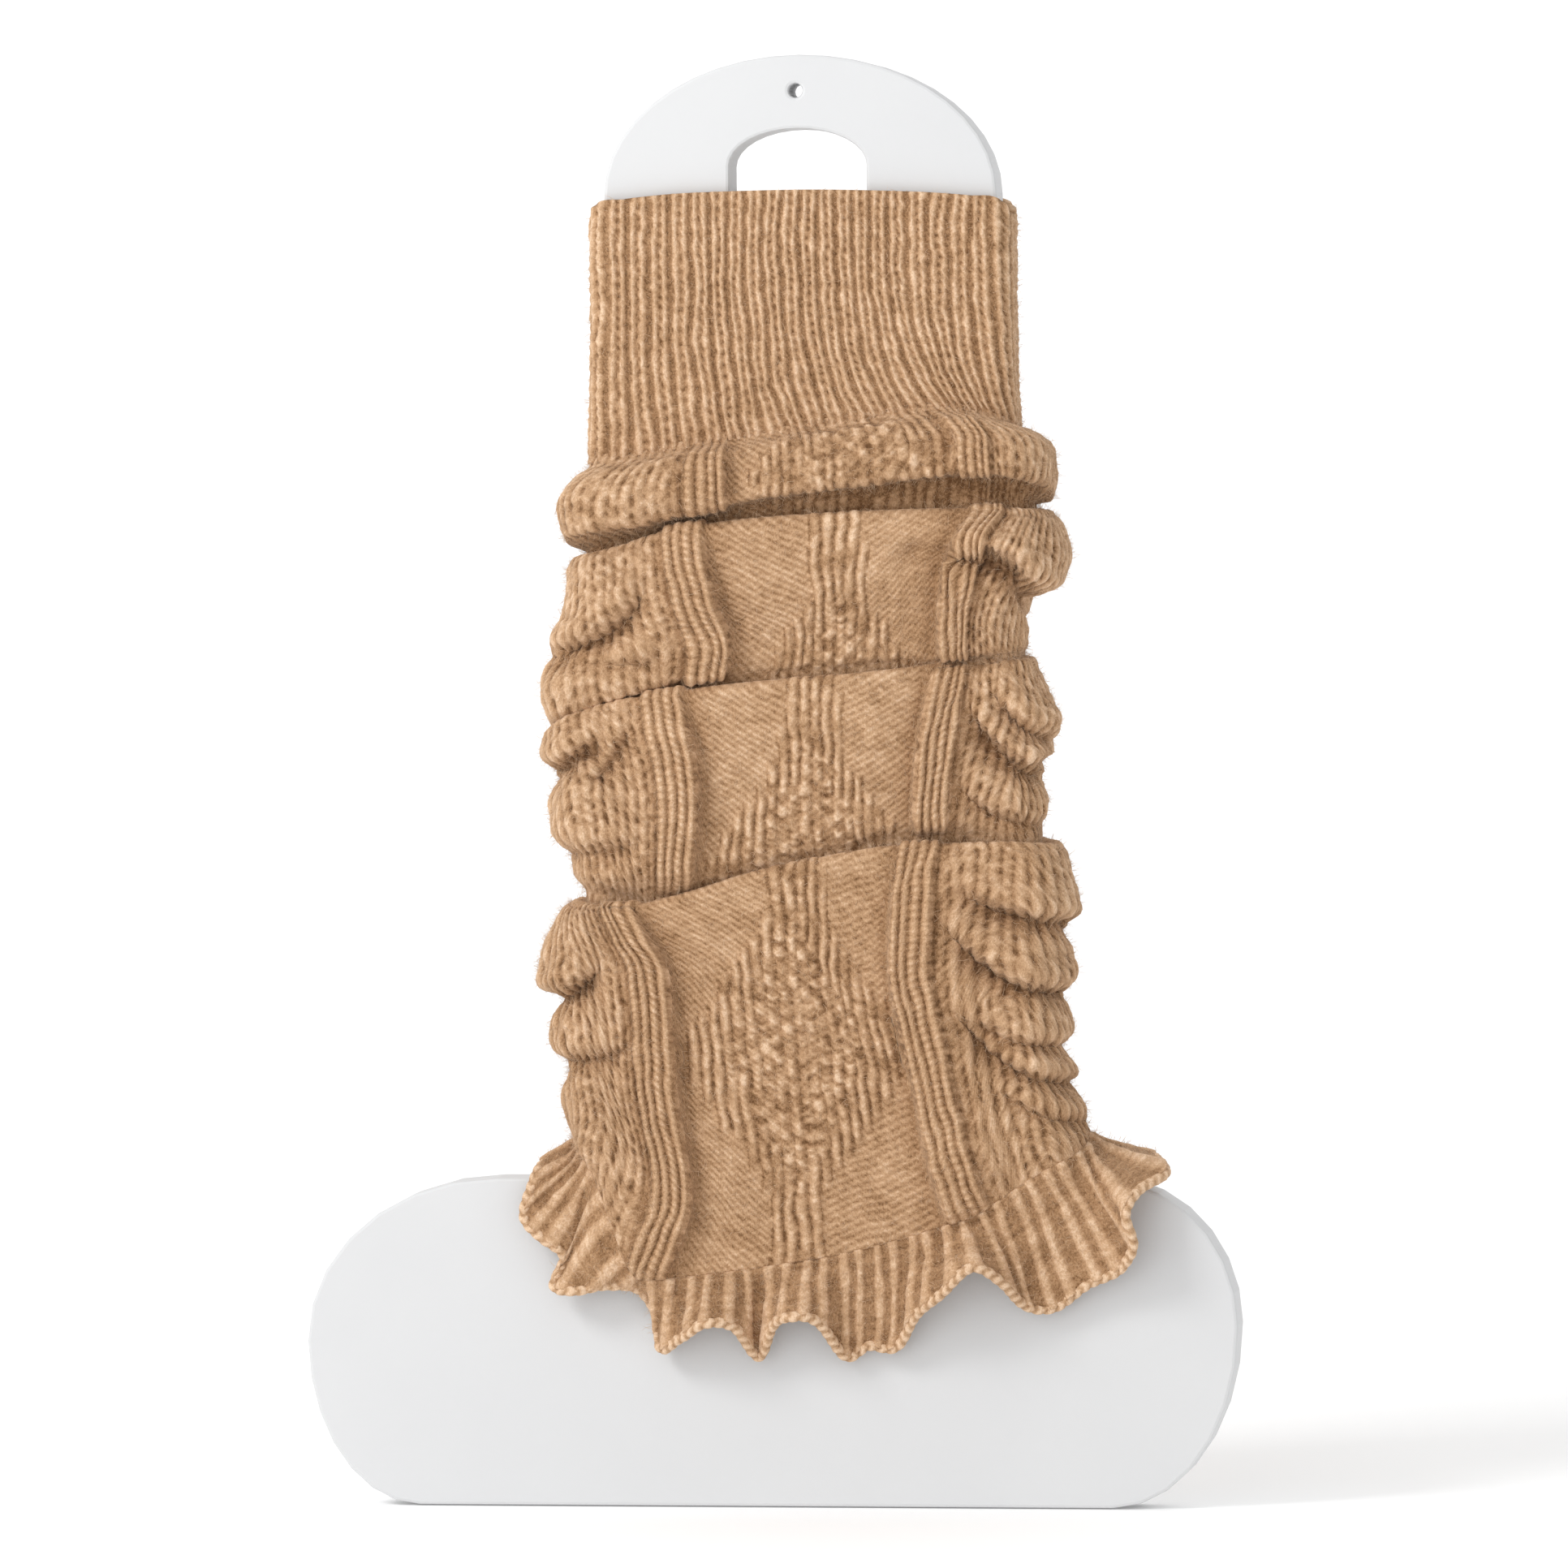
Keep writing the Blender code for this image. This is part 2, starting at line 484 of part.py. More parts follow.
def crease_depth(x, z, face):
    """How far the creases pull the cloth in at points of the front or back."""
    total = np.zeros_like(x)
    for crease in CREASES:
        dx, dz = crease.x1 - crease.x0, crease.z1 - crease.z0
        length = math.hypot(dx, dz)
        along = ((x - crease.x0) * dx + (z - crease.z0) * dz) / length**2
        off = (-(x - crease.x0) * dz + (z - crease.z0) * dx) / length
        lean = 1.0 if dx > 0 else -1.0
        bow = crease.bow * lean * np.sin(np.pi * np.clip(along, 0.0, 1.0))
        fade = smooth(-0.18, 0.08, along) * (1 - smooth(0.72, 1.06, along))
        near_edge = 1 - smooth(0.0, 0.30, along)
        share = np.where(face == crease.face, 1.0, near_edge * (abs(crease.x0 - TUBE_CENTRE) > 60))
        total = np.maximum(total, share * fade * crease.depth * np.exp(-(((off - bow) / crease.half) ** 2)))
    return total


def leg_middle(q, u):
    """Middle surface of the leg at profile positions q and shares u: points and raise shares."""
    z_rows, out_rows, guide_rows, side_rows, raise_rows = control_rows(u)
    step = np.hypot(np.diff(z_rows, axis=0), np.diff(out_rows, axis=0))
    knots = np.vstack([np.zeros((1, len(u))), np.cumsum(np.sqrt(step), axis=0)])
    k = np.clip(np.floor(q).astype(int), 0, len(z_rows) - 2)
    t = q - k
    z = hermite(z_rows, knots, k, t)
    out = hermite(out_rows, knots, k, t)
    guide = guide_rows[k] * (1 - t[:, None]) + guide_rows[k + 1] * t[:, None]
    sides = (side_rows[k] * (1 - t) + side_rows[k + 1] * t)[:, None]
    raised = (raise_rows[k] * (1 - t) + raise_rows[k + 1] * t)[:, None]

    columns = np.array([[getattr(line, name) for line in LINES] for name in Line._fields[8:]])
    x_a, x_c, x_b, left, right = pchip(np.arange(len(LINES)), columns, guide)
    left, right = left + WALL / 2, right - WALL / 2
    centre_out = out[:, np.argmin(np.abs(front_share(u) - CENTRE))][:, None]
    depth = SNUG_DEPTH + np.broadcast_to(centre_out, out.shape)
    corner = np.clip(CUFF_CORNER + (LEG_CORNER - CUFF_CORNER) * out / 4.0, CUFF_CORNER, LEG_CORNER)
    corner = np.broadcast_to(corner.mean(axis=1)[:, None], out.shape)
    x, y, nx, ny = section(u, x_a, x_c, x_b, left, right, depth, corner)

    face = np.where(np.mod(u, 1.0) <= 0.5, -1, 1)[None, :]
    pulled = crease_depth(x, z, face) * sides
    swell = SIDE_STEP * side_share(u)[None, :] * sides
    y = y + (out - centre_out + swell) * ny
    past_x = np.maximum(np.maximum(LEG_LEFT + BOARD_EDGE - x, x - LEG_RIGHT + BOARD_EDGE), 0.0)
    past_y = np.maximum(np.abs(y) - BOARD_THICKNESS / 2 + BOARD_EDGE, 0.0)
    room = np.hypot(past_x, past_y) - BOARD_EDGE - WALL / 2 - BOARD_CLEARANCE
    pulled = np.minimum(pulled, room)
    points = np.stack([x - pulled * nx, y - pulled * ny, z], axis=-1)
    return points, np.broadcast_to(raised, out.shape)


def normals(surface, rows, columns, step_row, step_column):
    """Outward unit normals of a surface given by a function of rows and columns."""
    down = surface(rows + step_row, columns) - surface(rows - step_row, columns)
    side = surface(rows, columns + step_column) - surface(rows, columns - step_column)
    normal = np.cross(down, side)
    return normal / np.linalg.norm(normal, axis=-1, keepdims=True)


def band_raise(u):
    """Height of the cords of the two rib bands at shares u."""
    turn = np.mod(u, 1.0)
    total = np.zeros_like(turn)
    for middle in (BAND_LEFT, BAND_RIGHT):
        t = (turn - middle) / BAND_HALF
        inside = np.abs(t) <= 1
        cord = np.abs(np.sin(np.pi * BAND_CORDS * (t + 1) / 2))
        total = np.where(inside, BAND_RAISE * (0.25 + 0.75 * cord), total)
    return total


def tuck_turns():
    """Profile positions deep in each tuck, where one panel of the leg ends and the next begins."""
    start, turns = len(ROLL_ROWS), []
    for rows in (UPPER_ROWS, MIDDLE_ROWS, LOWER_ROWS):
        turns.append(start + 2.0)
        start += 1 + len(VALLEY_TURNS) + len(CREST_TURNS) + len(rows)
    return turns


def diamond_raise(points, q, u):
    """Height of the moss-stitch diamonds at points of the front, each on its own panel."""
    panel = np.digitize(q, tuck_turns())[:, None]
    turn = np.mod(u, 1.0)[None, :]
    inside = (turn > BAND_LEFT + BAND_HALF) & (turn < BAND_RIGHT - BAND_HALF)
    total = np.zeros(points.shape[:2])
    for diamond in DIAMONDS:
        far = np.abs(points[..., 0] - diamond.x) / diamond.half_x
        far = far + np.abs(points[..., 2] - diamond.z) / diamond.half_z
        raised = DIAMOND_RAISE * (1 - smooth(1 - DIAMOND_EDGE, 1 + DIAMOND_EDGE, far))
        total = np.where(panel == diamond.panel, raised, total)
    return np.where(inside, total, 0.0)


def wall_mesh(name, outer, inner, inner_columns):
    """Closed wall between an outer and an inner grid of points, both closed round their columns."""
    bm = bmesh.new()
    rows_o, cols_o = outer.shape[:2]
    rows_i, cols_i = inner.shape[:2]
    grid_o = [[bm.verts.new(p * MM) for p in row] for row in outer]
    grid_i = [[bm.verts.new(p * MM) for p in row] for row in inner]

    def pair(a, b, c, d):
        """Two triangles of the quad a, b, c, d, cut along its shorter diagonal."""
        if (a.co - c.co).length <= (b.co - d.co).length:
            bm.faces.new((a, b, c))
            bm.faces.new((a, c, d))
        else:
            bm.faces.new((a, b, d))
            bm.faces.new((b, c, d))

    for i in range(rows_o - 1):
        for j in range(cols_o):
            n = (j + 1) % cols_o
            pair(grid_o[i][j], grid_o[i + 1][j], grid_o[i + 1][n], grid_o[i][n])
    for i in range(rows_i - 1):
        for j in range(cols_i):
            n = (j + 1) % cols_i
            pair(grid_i[i][n], grid_i[i + 1][n], grid_i[i + 1][j], grid_i[i][j])
    for row_o, row_i, flip in ((grid_o[0], grid_i[0], False), (grid_o[-1], grid_i[-1], True)):
        for j in range(cols_i):
            n = (j + 1) % cols_i
            first = inner_columns[j]
            last = inner_columns[n] if n else cols_o
            middle = (first + last) // 2
            fan = []
            for c in range(first, last):
                corner = row_i[j] if c < middle else row_i[n]
                fan.append((row_o[c], row_o[(c + 1) % cols_o], corner))
            fan.append((row_o[middle % cols_o], row_i[n], row_i[j]))
            for a, b, c in fan:
                bm.faces.new((a, c, b) if flip else (a, b, c))
    bm.normal_update()
    mesh = bpy.data.meshes.new(name)
    bm.to_mesh(mesh)
    bm.free()
    mesh.shade_smooth()
    mesh.set_sharp_from_angle(angle=math.radians(50))
    return mesh


def leg_columns():
    """Shares of the turn at which the leg's wall has points, and those its inside keeps."""
    left_in, left_out = BAND_LEFT - BAND_HALF, BAND_LEFT + BAND_HALF
    right_in, right_out = BAND_RIGHT - BAND_HALF, BAND_RIGHT + BAND_HALF
    side = len(SIDE_COLUMNS)
    shares = list(SIDE_COLUMNS)
    shares += list(np.linspace(left_in, left_out, CORD_COLUMNS))
    shares += list(np.linspace(left_out + SIDE_STEP_WIDTH, right_in - SIDE_STEP_WIDTH, MIDDLE_COLUMNS))
    shares += list(np.linspace(right_in, right_out, CORD_COLUMNS))
    shares += [0.5 - share for share in SIDE_COLUMNS[::-1]]
    shares += [0.5 + share for share in BACK_SIDE_COLUMNS[1:-1]]
    front = len(shares)
    low, high = 0.5 + BACK_SIDE_COLUMNS[-1], 1.0 - BACK_SIDE_COLUMNS[-1]
    shares += list(np.linspace(low, high, BACK_MIDDLE_COLUMNS + 1))
    back = len(shares)
    shares += [1.0 - share for share in BACK_SIDE_COLUMNS[-2:0:-1]]
    right = side + CORD_COLUMNS + MIDDLE_COLUMNS
    skipped = {side + c for c in range(CORD_COLUMNS) if c % 4}
    skipped |= {right + c for c in range(CORD_COLUMNS) if c % 4}
    skipped |= set(range(front + 1, back, 2))
    kept = [c for c in range(len(shares)) if c not in skipped]
    return np.array(shares), kept


def leg_rows():
    """Profile positions of the outer and of the inner points of the leg's wall."""
    outer = [float(index) for index in range(len(ROLL_ROWS))]
    inner = outer[::2]
    start = len(ROLL_ROWS)
    tuck = 1 + len(VALLEY_TURNS) + len(CREST_TURNS)
    for rows, spacing in ((UPPER_ROWS, 1.0), (MIDDLE_ROWS, 0.5), (LOWER_ROWS, 0.5)):
        outer += [start + float(index) for index in range(tuck) if index != SHARED_TURN]
        inner += [start + float(index) for index in INNER_TUCK_ROWS]
        start += tuck
        outer += list(start + np.arange(0.0, len(rows) - 1 + spacing / 2, spacing))
        inner += [start + float(index) for index in range(0, len(rows), 2)]
        start += len(rows)
    if inner[-1] != outer[-1]:
        inner.append(outer[-1])
    return np.array(outer), np.array(inner)


def leg_surface(q, u):
    """Points of the leg's middle surface alone."""
    top = len(control_rows(np.array([0.25]))[0]) - 1
    q = np.asarray(q, float)
    low, high = np.clip(q, 0.0, top), q
    points = leg_middle(low, u)[0]
    past = high - low
    if np.any(past):
        inward = np.clip(low - np.sign(past) * SMALL_STEP, 0.0, top)
        slope = (points - leg_middle(inward, u)[0]) / SMALL_STEP
        points = points + slope * np.abs(past)[:, None, None]
    return points


def wall_gap(outer, inner, normal, cells, shares_in_cell):
    """Wall thickness at the outer points, above the plainer inside."""
    row, column = cells
    t, s = shares_in_cell
    closed = np.concatenate([inner, inner[:, :1]], axis=1)
    above = closed[row][:, column] * (1 - s) + closed[row][:, column + 1] * s
    below = closed[row + 1][:, column] * (1 - s) + closed[row + 1][:, column + 1] * s
    return np.sum((outer - above * (1 - t) - below * t) * normal, axis=-1)


def keep_apart(outer, inner, normal, facing, flat_rows, outer_q, inner_q, shares, kept):
    """Outer and inner points, moved apart where the plainer inside comes closer than LEAST_WALL.

    The inside moves towards the board first, as far as it has room; the outside takes the rest.
    Rows in the turns of a tuck stay as they are.
    """
    row = np.clip(np.searchsorted(inner_q, outer_q, side="right") - 1, 0, len(inner_q) - 2)
    t = ((outer_q - inner_q[row]) / (inner_q[row + 1] - inner_q[row]))[:, None, None]
    ends = np.append(shares[kept], 1.0 + shares[kept[0]])
    column = np.clip(np.searchsorted(ends, shares, side="right") - 1, 0, len(kept) - 1)
    s = ((shares - ends[column]) / (ends[column + 1] - ends[column]))[None, :, None]
    short = np.maximum(LEAST_WALL - wall_gap(outer, inner, normal, (row, column), (t, s)), 0.0)
    need = np.zeros(inner.shape[:2])
    for down in (0, 1):
        for right in (0, 1):
            at = np.ix_(row + down, (column + right) % len(kept))
            np.maximum.at(need, at, short)
    past_x = np.maximum(np.maximum(LEG_LEFT - inner[..., 0], inner[..., 0] - LEG_RIGHT) + BOARD_EDGE, 0.0)
    past_y = np.maximum(np.abs(inner[..., 1]) - BOARD_THICKNESS / 2 + BOARD_EDGE, 0.0)
    room = np.maximum(np.hypot(past_x, past_y) - BOARD_EDGE - BOARD_CLEARANCE, 0.0)
    inner = inner - facing * np.where(flat_rows[1], np.minimum(need, room), 0.0)[..., None]
    gap = wall_gap(outer, inner, normal, (row, column), (t, s))
    push = np.where(flat_rows[0], np.maximum(LEAST_WALL - gap, 0.0), 0.0)
    return outer + normal * push[..., None], inner


def build_leg():
    """Wall of the slouched leg between the cuff and the gathered hem."""
    shares, kept = leg_columns()
    outer_q, inner_q = leg_rows()
    points, raised = leg_middle(outer_q, shares)
    normal = normals(leg_surface, outer_q, shares, SMALL_STEP, SMALL_STEP / 4)
    relief = band_raise(shares)[None, :] + diamond_raise(points, outer_q, shares)
    outer = points + normal * (WALL / 2 + relief * raised)[..., None]
    inside = shares[kept]
    points, inner_raised = leg_middle(inner_q, inside)
    facing = normals(leg_surface, inner_q, inside, SMALL_STEP, SMALL_STEP / 4)
    inner = points - facing * WALL / 2
    flat_rows = (raised > 0.9, inner_raised > 0.9)
    outer, inner = keep_apart(outer, inner, normal, facing, flat_rows, outer_q, inner_q, shares, kept)
    return wall_mesh("leg_body", outer, inner, kept)


def cuff_surface(t, u):
    """Middle surface of the ribbed cuff at shares t of its height and u of the turn."""
    heights = line_heights(u)
    top, end = LINE_AT["cuff_top"], LINE_AT["cuff_end"]
    t = np.asarray(t, float)[:, None]
    z = np.maximum(heights[top], CUFF_TOP_SIDE) * (1 - t) + heights[end] * t
    shape = z.shape
    columns = np.array([[getattr(line, name) for name in Line._fields[8:]] for line in LINES])
    bend = np.clip(t, 0.0, 1.0) ** CUFF_BEND
    mixed = columns[top][:, None, None] * (1 - bend) + columns[end][:, None, None] * bend
    x_a, x_c, x_b, left, right = (np.broadcast_to(m, shape) for m in mixed)
    depth = np.full(shape, SNUG_DEPTH)
    corner = np.full(shape, CUFF_CORNER)
    x, y, _, _ = section(u, x_a, x_c, x_b, left + WALL / 2, right - WALL / 2, depth, corner)
    inward = np.minimum(x - left, right - x) - WALL / 2
    past = np.clip(CUFF_TOP_ROUND - inward, 0.0, CUFF_TOP_ROUND)
    fall = CUFF_TOP_ROUND - np.sqrt(CUFF_TOP_ROUND**2 - past**2)
    return np.stack([x, y, z - fall * (1 - np.clip(t, 0.0, 1.0))], axis=-1)


def build_cuff():
    """Tube of narrow ribs at the top of the leg warmer."""
    count = len(CUFF_RIB_RAISE) * CUFF_RIBS
    shares = np.arange(count) / count
    rows = np.array(CUFF_ROWS)
    points = cuff_surface(rows, shares)
    normal = normals(cuff_surface, rows, shares, SMALL_STEP, SMALL_STEP / 4)
    ribs = np.tile(CUFF_RIB_RAISE, CUFF_RIBS)
    outer = points + normal * (WALL / 2 + ribs)[None, :, None]
    kept = list(range(0, count, 2))
    inner_rows = np.array(CUFF_INNER_ROWS)
    points = cuff_surface(inner_rows, shares[kept])
    normal = normals(cuff_surface, inner_rows, shares[kept], SMALL_STEP, SMALL_STEP / 4)
    inner = points - normal * WALL / 2
    return wall_mesh("ribbed_cuff", outer, inner, kept)


def hem_edge():
    """Ribs and points of the hem's edge all round, front table first, then waves of the back."""
    points = list(HEM_FRONT)
    half = HEM_RIBS / 2
    count = BACK_WAVES * BACK_POINTS_PER_WAVE
    for index in range(count + 1):
        t = index / count
        wave = math.cos(2 * math.pi * BACK_WAVES * t)
        rise = math.sin(math.pi * t)
        x = BACK_HEM_RIGHT + (BACK_HEM_LEFT - BACK_HEM_RIGHT) * t
        fall = min(1.0, rise * BACK_HEM_FALL) ** 2
        z = BACK_HEM_TOP + (BACK_HEM_Z - BACK_HEM_TOP + BACK_HEM_SWING * wave) * fall
        depth = -(BACK_HEM_DEPTH + BACK_HEM_WAVE * wave) * min(1.0, rise * BACK_HEM_SPREAD)
        points.append(HemPoint(half + half * t, x, z, depth))
    ribs = np.array([p.rib for p in points])
    places = np.array([(p.x, -p.depth, p.z) for p in points])
    return ribs, places


def closed_curve(knots, values, at, period):
    """Smooth closed curve through values at knots, read at positions at."""
    before, after = knots[-4:-1] - period, knots[1:4] + period
    x = np.concatenate([before, knots, after])
    y = np.vstack([values[-4:-1], values, values[1:4]])
    h = np.diff(x)
    d = np.diff(y, axis=0) / h[:, None]
    m = np.zeros_like(y)
    weight = (h[1:] + h[:-1])[:, None]
    m[1:-1] = (d[:-1] * h[1:, None] + d[1:] * h[:-1, None]) / weight
    a = np.mod(at, period)
    k = np.clip(np.searchsorted(x, a, side="right") - 1, 0, len(x) - 2)
    t = ((a - x[k]) / h[k])[:, None]
    return (
        (2 * t**3 - 3 * t**2 + 1) * y[k]
        + (t**3 - 2 * t**2 + t) * h[k][:, None] * m[k]
        + (3 * t**2 - 2 * t**3) * y[k + 1]
        + (t**3 - t**2) * h[k][:, None] * m[k + 1]
    )


def hem_surface(t, ribs):
    """Middle surface of the gathered hem at shares t of its drop and at ribs round it."""
    spread = np.array(HEM_RIB_SPREAD)
    turn = np.interp(np.mod(ribs, HEM_RIBS), spread[:, 0], spread[:, 1])
    last = len(control_rows(np.array([0.25]))[0]) - 1
    seam = leg_middle(np.array([float(last)]), turn)[0][0]
    near = leg_middle(np.array([last - 0.05]), turn)[0][0]
    past = leg_middle(np.array([float(last)]), turn + SMALL_STEP)[0][0]
    before = leg_middle(np.array([float(last)]), turn - SMALL_STEP)[0][0]
    along = (past - before) / np.linalg.norm(past - before, axis=-1, keepdims=True)
    down = seam - near
    down = down - along * np.sum(down * along, axis=-1, keepdims=True)
    down = down / np.linalg.norm(down, axis=-1, keepdims=True)
    start = seam + down * SEAM_GAP
    knots, places = hem_edge()
    edge = closed_curve(knots, places, ribs, HEM_RIBS)
    chord = edge - start
    length = np.linalg.norm(chord, axis=-1, keepdims=True)
    t = np.asarray(t, float)[:, None, None]
    pull_0 = down * length * HEM_START_PULL
    pull_1 = chord * HEM_END_PULL
    return (
        (2 * t**3 - 3 * t**2 + 1) * start
        + (t**3 - 2 * t**2 + t) * pull_0
        + (3 * t**2 - 2 * t**3) * edge
        + (t**3 - t**2) * pull_1
    )


def build_hem():
    """Gathered, flared and ribbed hem below the leg."""
    count = 2 * HEM_RIBS
    ribs = np.arange(count) / 2
    rows = np.array(HEM_ROWS)
    points = hem_surface(rows, ribs)
    normal = normals(hem_surface, rows, ribs, SMALL_STEP, 0.05)
    raised = np.where(np.arange(count) % 2 == 0, HEM_RIB_RAISE, 0.0)
    outer = points + normal * (HEM_WALL / 2 + raised)[None, :, None]
    kept = list(range(0, count, 2))
    inner_rows = np.array(HEM_INNER_ROWS)
    points = hem_surface(inner_rows, ribs[kept])
    normal = normals(hem_surface, inner_rows, ribs[kept], SMALL_STEP, 0.05)
    inner = points - normal * HEM_WALL / 2
    return wall_mesh("ruffled_hem", outer, inner, kept)


def arc(centre_x, centre_z, reach_x, reach_z, start, end, segments):
    """Points along an elliptical arc, angles in degrees, both ends included."""
    angles = np.radians(np.linspace(start, end, segments + 1))
    return [(centre_x + reach_x * math.cos(a), centre_z + reach_z * math.sin(a)) for a in angles]


def foot_corner(corner, side, upper, start):
    """Quarter ellipse at a corner of the foot, from a start angle in degrees."""
    x = side * (FOOT_HALF - corner.reach_x)
    z = FOOT_TOP - corner.reach_z if upper else corner.reach_z
    return arc(x, z, corner.reach_x, corner.reach_z, start, start + 90, CORNER_SEGMENTS)


def board_outline():
    """Outline of the board, anticlockwise seen from the front."""
    toe_top, toe_bottom, heel_bottom, heel_top = FOOT_CORNERS
    middle = (LEG_LEFT + LEG_RIGHT) / 2
    half = (LEG_RIGHT - LEG_LEFT) / 2
    r = ANKLE_FILLET
    points = foot_corner(toe_bottom, -1, False, 180)
    points += foot_corner(heel_bottom, 1, False, 270)
    points += foot_corner(heel_top, 1, True, 0)
    points += arc(LEG_RIGHT + r, FOOT_TOP + r, r, r, 270, 180, FILLET_SEGMENTS)
    points += arc(middle, ARCH_FOOT, half, BOARD_TOP - ARCH_FOOT, 0, 180, ARCH_SEGMENTS)
    points += arc(LEG_LEFT - r, FOOT_TOP + r, r, r, 0, -90, FILLET_SEGMENTS)
    points += foot_corner(toe_top, -1, True, 90)
    tidy = []
    for point in points:
        if not tidy or math.dist(point, tidy[-1]) > 0.05:
            tidy.append(point)
    if math.dist(tidy[0], tidy[-1]) < 0.05:
        tidy.pop()
    return tidy


def slot_outline():
    """Outline of the hand slot: an arch over a flat bottom with rounded corners."""
    middle = (SLOT_LEFT + SLOT_RIGHT) / 2
    half = (SLOT_RIGHT - SLOT_LEFT) / 2
    r = SLOT_CORNER
    points = arc(middle, SLOT_SPRING, half, SLOT_TOP - SLOT_SPRING, 0, 180, 16)
    points += arc(SLOT_LEFT + r, SLOT_BOTTOM + r, r, r, 180, 270, 4)
    points += arc(SLOT_RIGHT - r, SLOT_BOTTOM + r, r, r, 270, 360, 4)
    return points


def board_from_outline(name, points, thickness, collection):
    """Flat board cut from an outline in the XZ plane, as a closed mesh object."""
    curve = bpy.data.curves.new(name + "_outline", "CURVE")
    curve.dimensions = "2D"
    curve.fill_mode = "BOTH"
    curve.extrude = thickness / 2 * MM
    spline = curve.splines.new("POLY")
    spline.points.add(len(points) - 1)
    for point, (x, z) in zip(spline.points, points):
        point.co = (x * MM, z * MM, 0.0, 1.0)
    spline.use_cyclic_u = True
    guide = bpy.data.objects.new(name + "_guide", curve)
    guide.rotation_euler = (math.radians(90), 0.0, 0.0)
    collection.objects.link(guide)
    bpy.context.view_layer.update()
    depsgraph = bpy.context.evaluated_depsgraph_get()
    mesh = bpy.data.meshes.new_from_object(guide.evaluated_get(depsgraph))
    bm = bmesh.new()
    bm.from_mesh(mesh)
    bmesh.ops.remove_doubles(bm, verts=bm.verts, dist=0.00001)
    bmesh.ops.dissolve_limit(bm, angle_limit=0.001, verts=bm.verts, edges=bm.edges)
    bmesh.ops.recalc_face_normals(bm, faces=bm.faces)
    bm.to_mesh(mesh)
    bm.free()
    mesh.name = name
    board = bpy.data.objects.new(name, mesh)
    board.matrix_world = guide.matrix_world
    collection.objects.link(board)
    bpy.data.objects.remove(guide)
    bpy.data.curves.remove(curve)
    return board


def add_cut(board, cutter, name):
    """Subtract a cutter from the board."""
    cutter.hide_render = True
    cutter.display_type = "WIRE"
    cut = board.modifiers.new(name, "BOOLEAN")
    cut.operation = "DIFFERENCE"
    cut.solver = "EXACT"
    cut.object = cutter


def build_board(parts, cutters):
    """Display board with its hand slot, hanging hole and softened edges."""
    board = board_from_outline("display_board", board_outline(), BOARD_THICKNESS, parts)
    slot = board_from_outline("slot_cutter", slot_outline(), BOARD_THICKNESS + 10.0, cutters)
    bpy.ops.mesh.primitive_cylinder_add(
        vertices=16,
        radius=HANG_HOLE_RADIUS * MM,
        depth=(BOARD_THICKNESS + 10.0) * MM,
        location=(HANG_HOLE_X * MM, 0.0, HANG_HOLE_Z * MM),
        rotation=(math.radians(90), 0.0, 0.0),
    )
    hole = bpy.context.active_object
    hole.name = "hole_cutter"
    for owner in list(hole.users_collection):
        owner.objects.unlink(hole)
    cutters.objects.link(hole)
    add_cut(board, slot, "hand_slot")
    add_cut(board, hole, "hanging_hole")
    edge = board.modifiers.new("soft_edges", "BEVEL")
    edge.width = BOARD_EDGE * MM
    edge.segments = 2
    edge.limit_method = "ANGLE"
    edge.angle_limit = math.radians(60)
    board.data.shade_smooth()
    board.data.set_sharp_from_angle(angle=math.radians(35))
    return board


def paint(thing, name, colour, roughness, sheen=0.0):
    """Give an object a plain Principled material."""
    material = bpy.data.materials.new(name)
    material.use_nodes = True
    shader = material.node_tree.nodes["Principled BSDF"]
    shader.inputs["Base Color"].default_value = (*colour, 1.0)
    shader.inputs["Roughness"].default_value = roughness
    shader.inputs["Metallic"].default_value = 0.0
    shader.inputs["Sheen Weight"].default_value = sheen
    material.diffuse_color = (*colour, 1.0)
    thing.data.materials.clear()
    thing.data.materials.append(material)


def main():
    """Build the leg warmer and its display board."""
    for thing in list(bpy.data.objects):
        bpy.data.objects.remove(thing, do_unlink=True)
    parts = bpy.data.collections.new(COLLECTION)
    cutters = bpy.data.collections.new("cutters")
    for collection in (parts, cutters):
        bpy.context.scene.collection.children.link(collection)

    board = build_board(parts, cutters)
    paint(board, "white_foam_board", (0.83, 0.83, 0.84), 0.55)
    for mesh in (build_cuff(), build_leg(), build_hem()):
        knit = bpy.data.objects.new(mesh.name, mesh)
        parts.objects.link(knit)
        paint(knit, mesh.name + "_wool", (0.58, 0.36, 0.18), 0.9, 0.3)


main()
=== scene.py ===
"""Slouched leg warmer on a flat display board, dressed for its picture.

Lengths are millimetres, +Z is up, the front faces -Y and the origin is in the middle of the
board's lower edge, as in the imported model. The knit's middle surface is swept from guide lines
round the tube and a profile down it. Its outer side carries every stitch as relief.
"""

from __future__ import annotations

import logging
import math
from dataclasses import dataclass, field
from enum import Enum

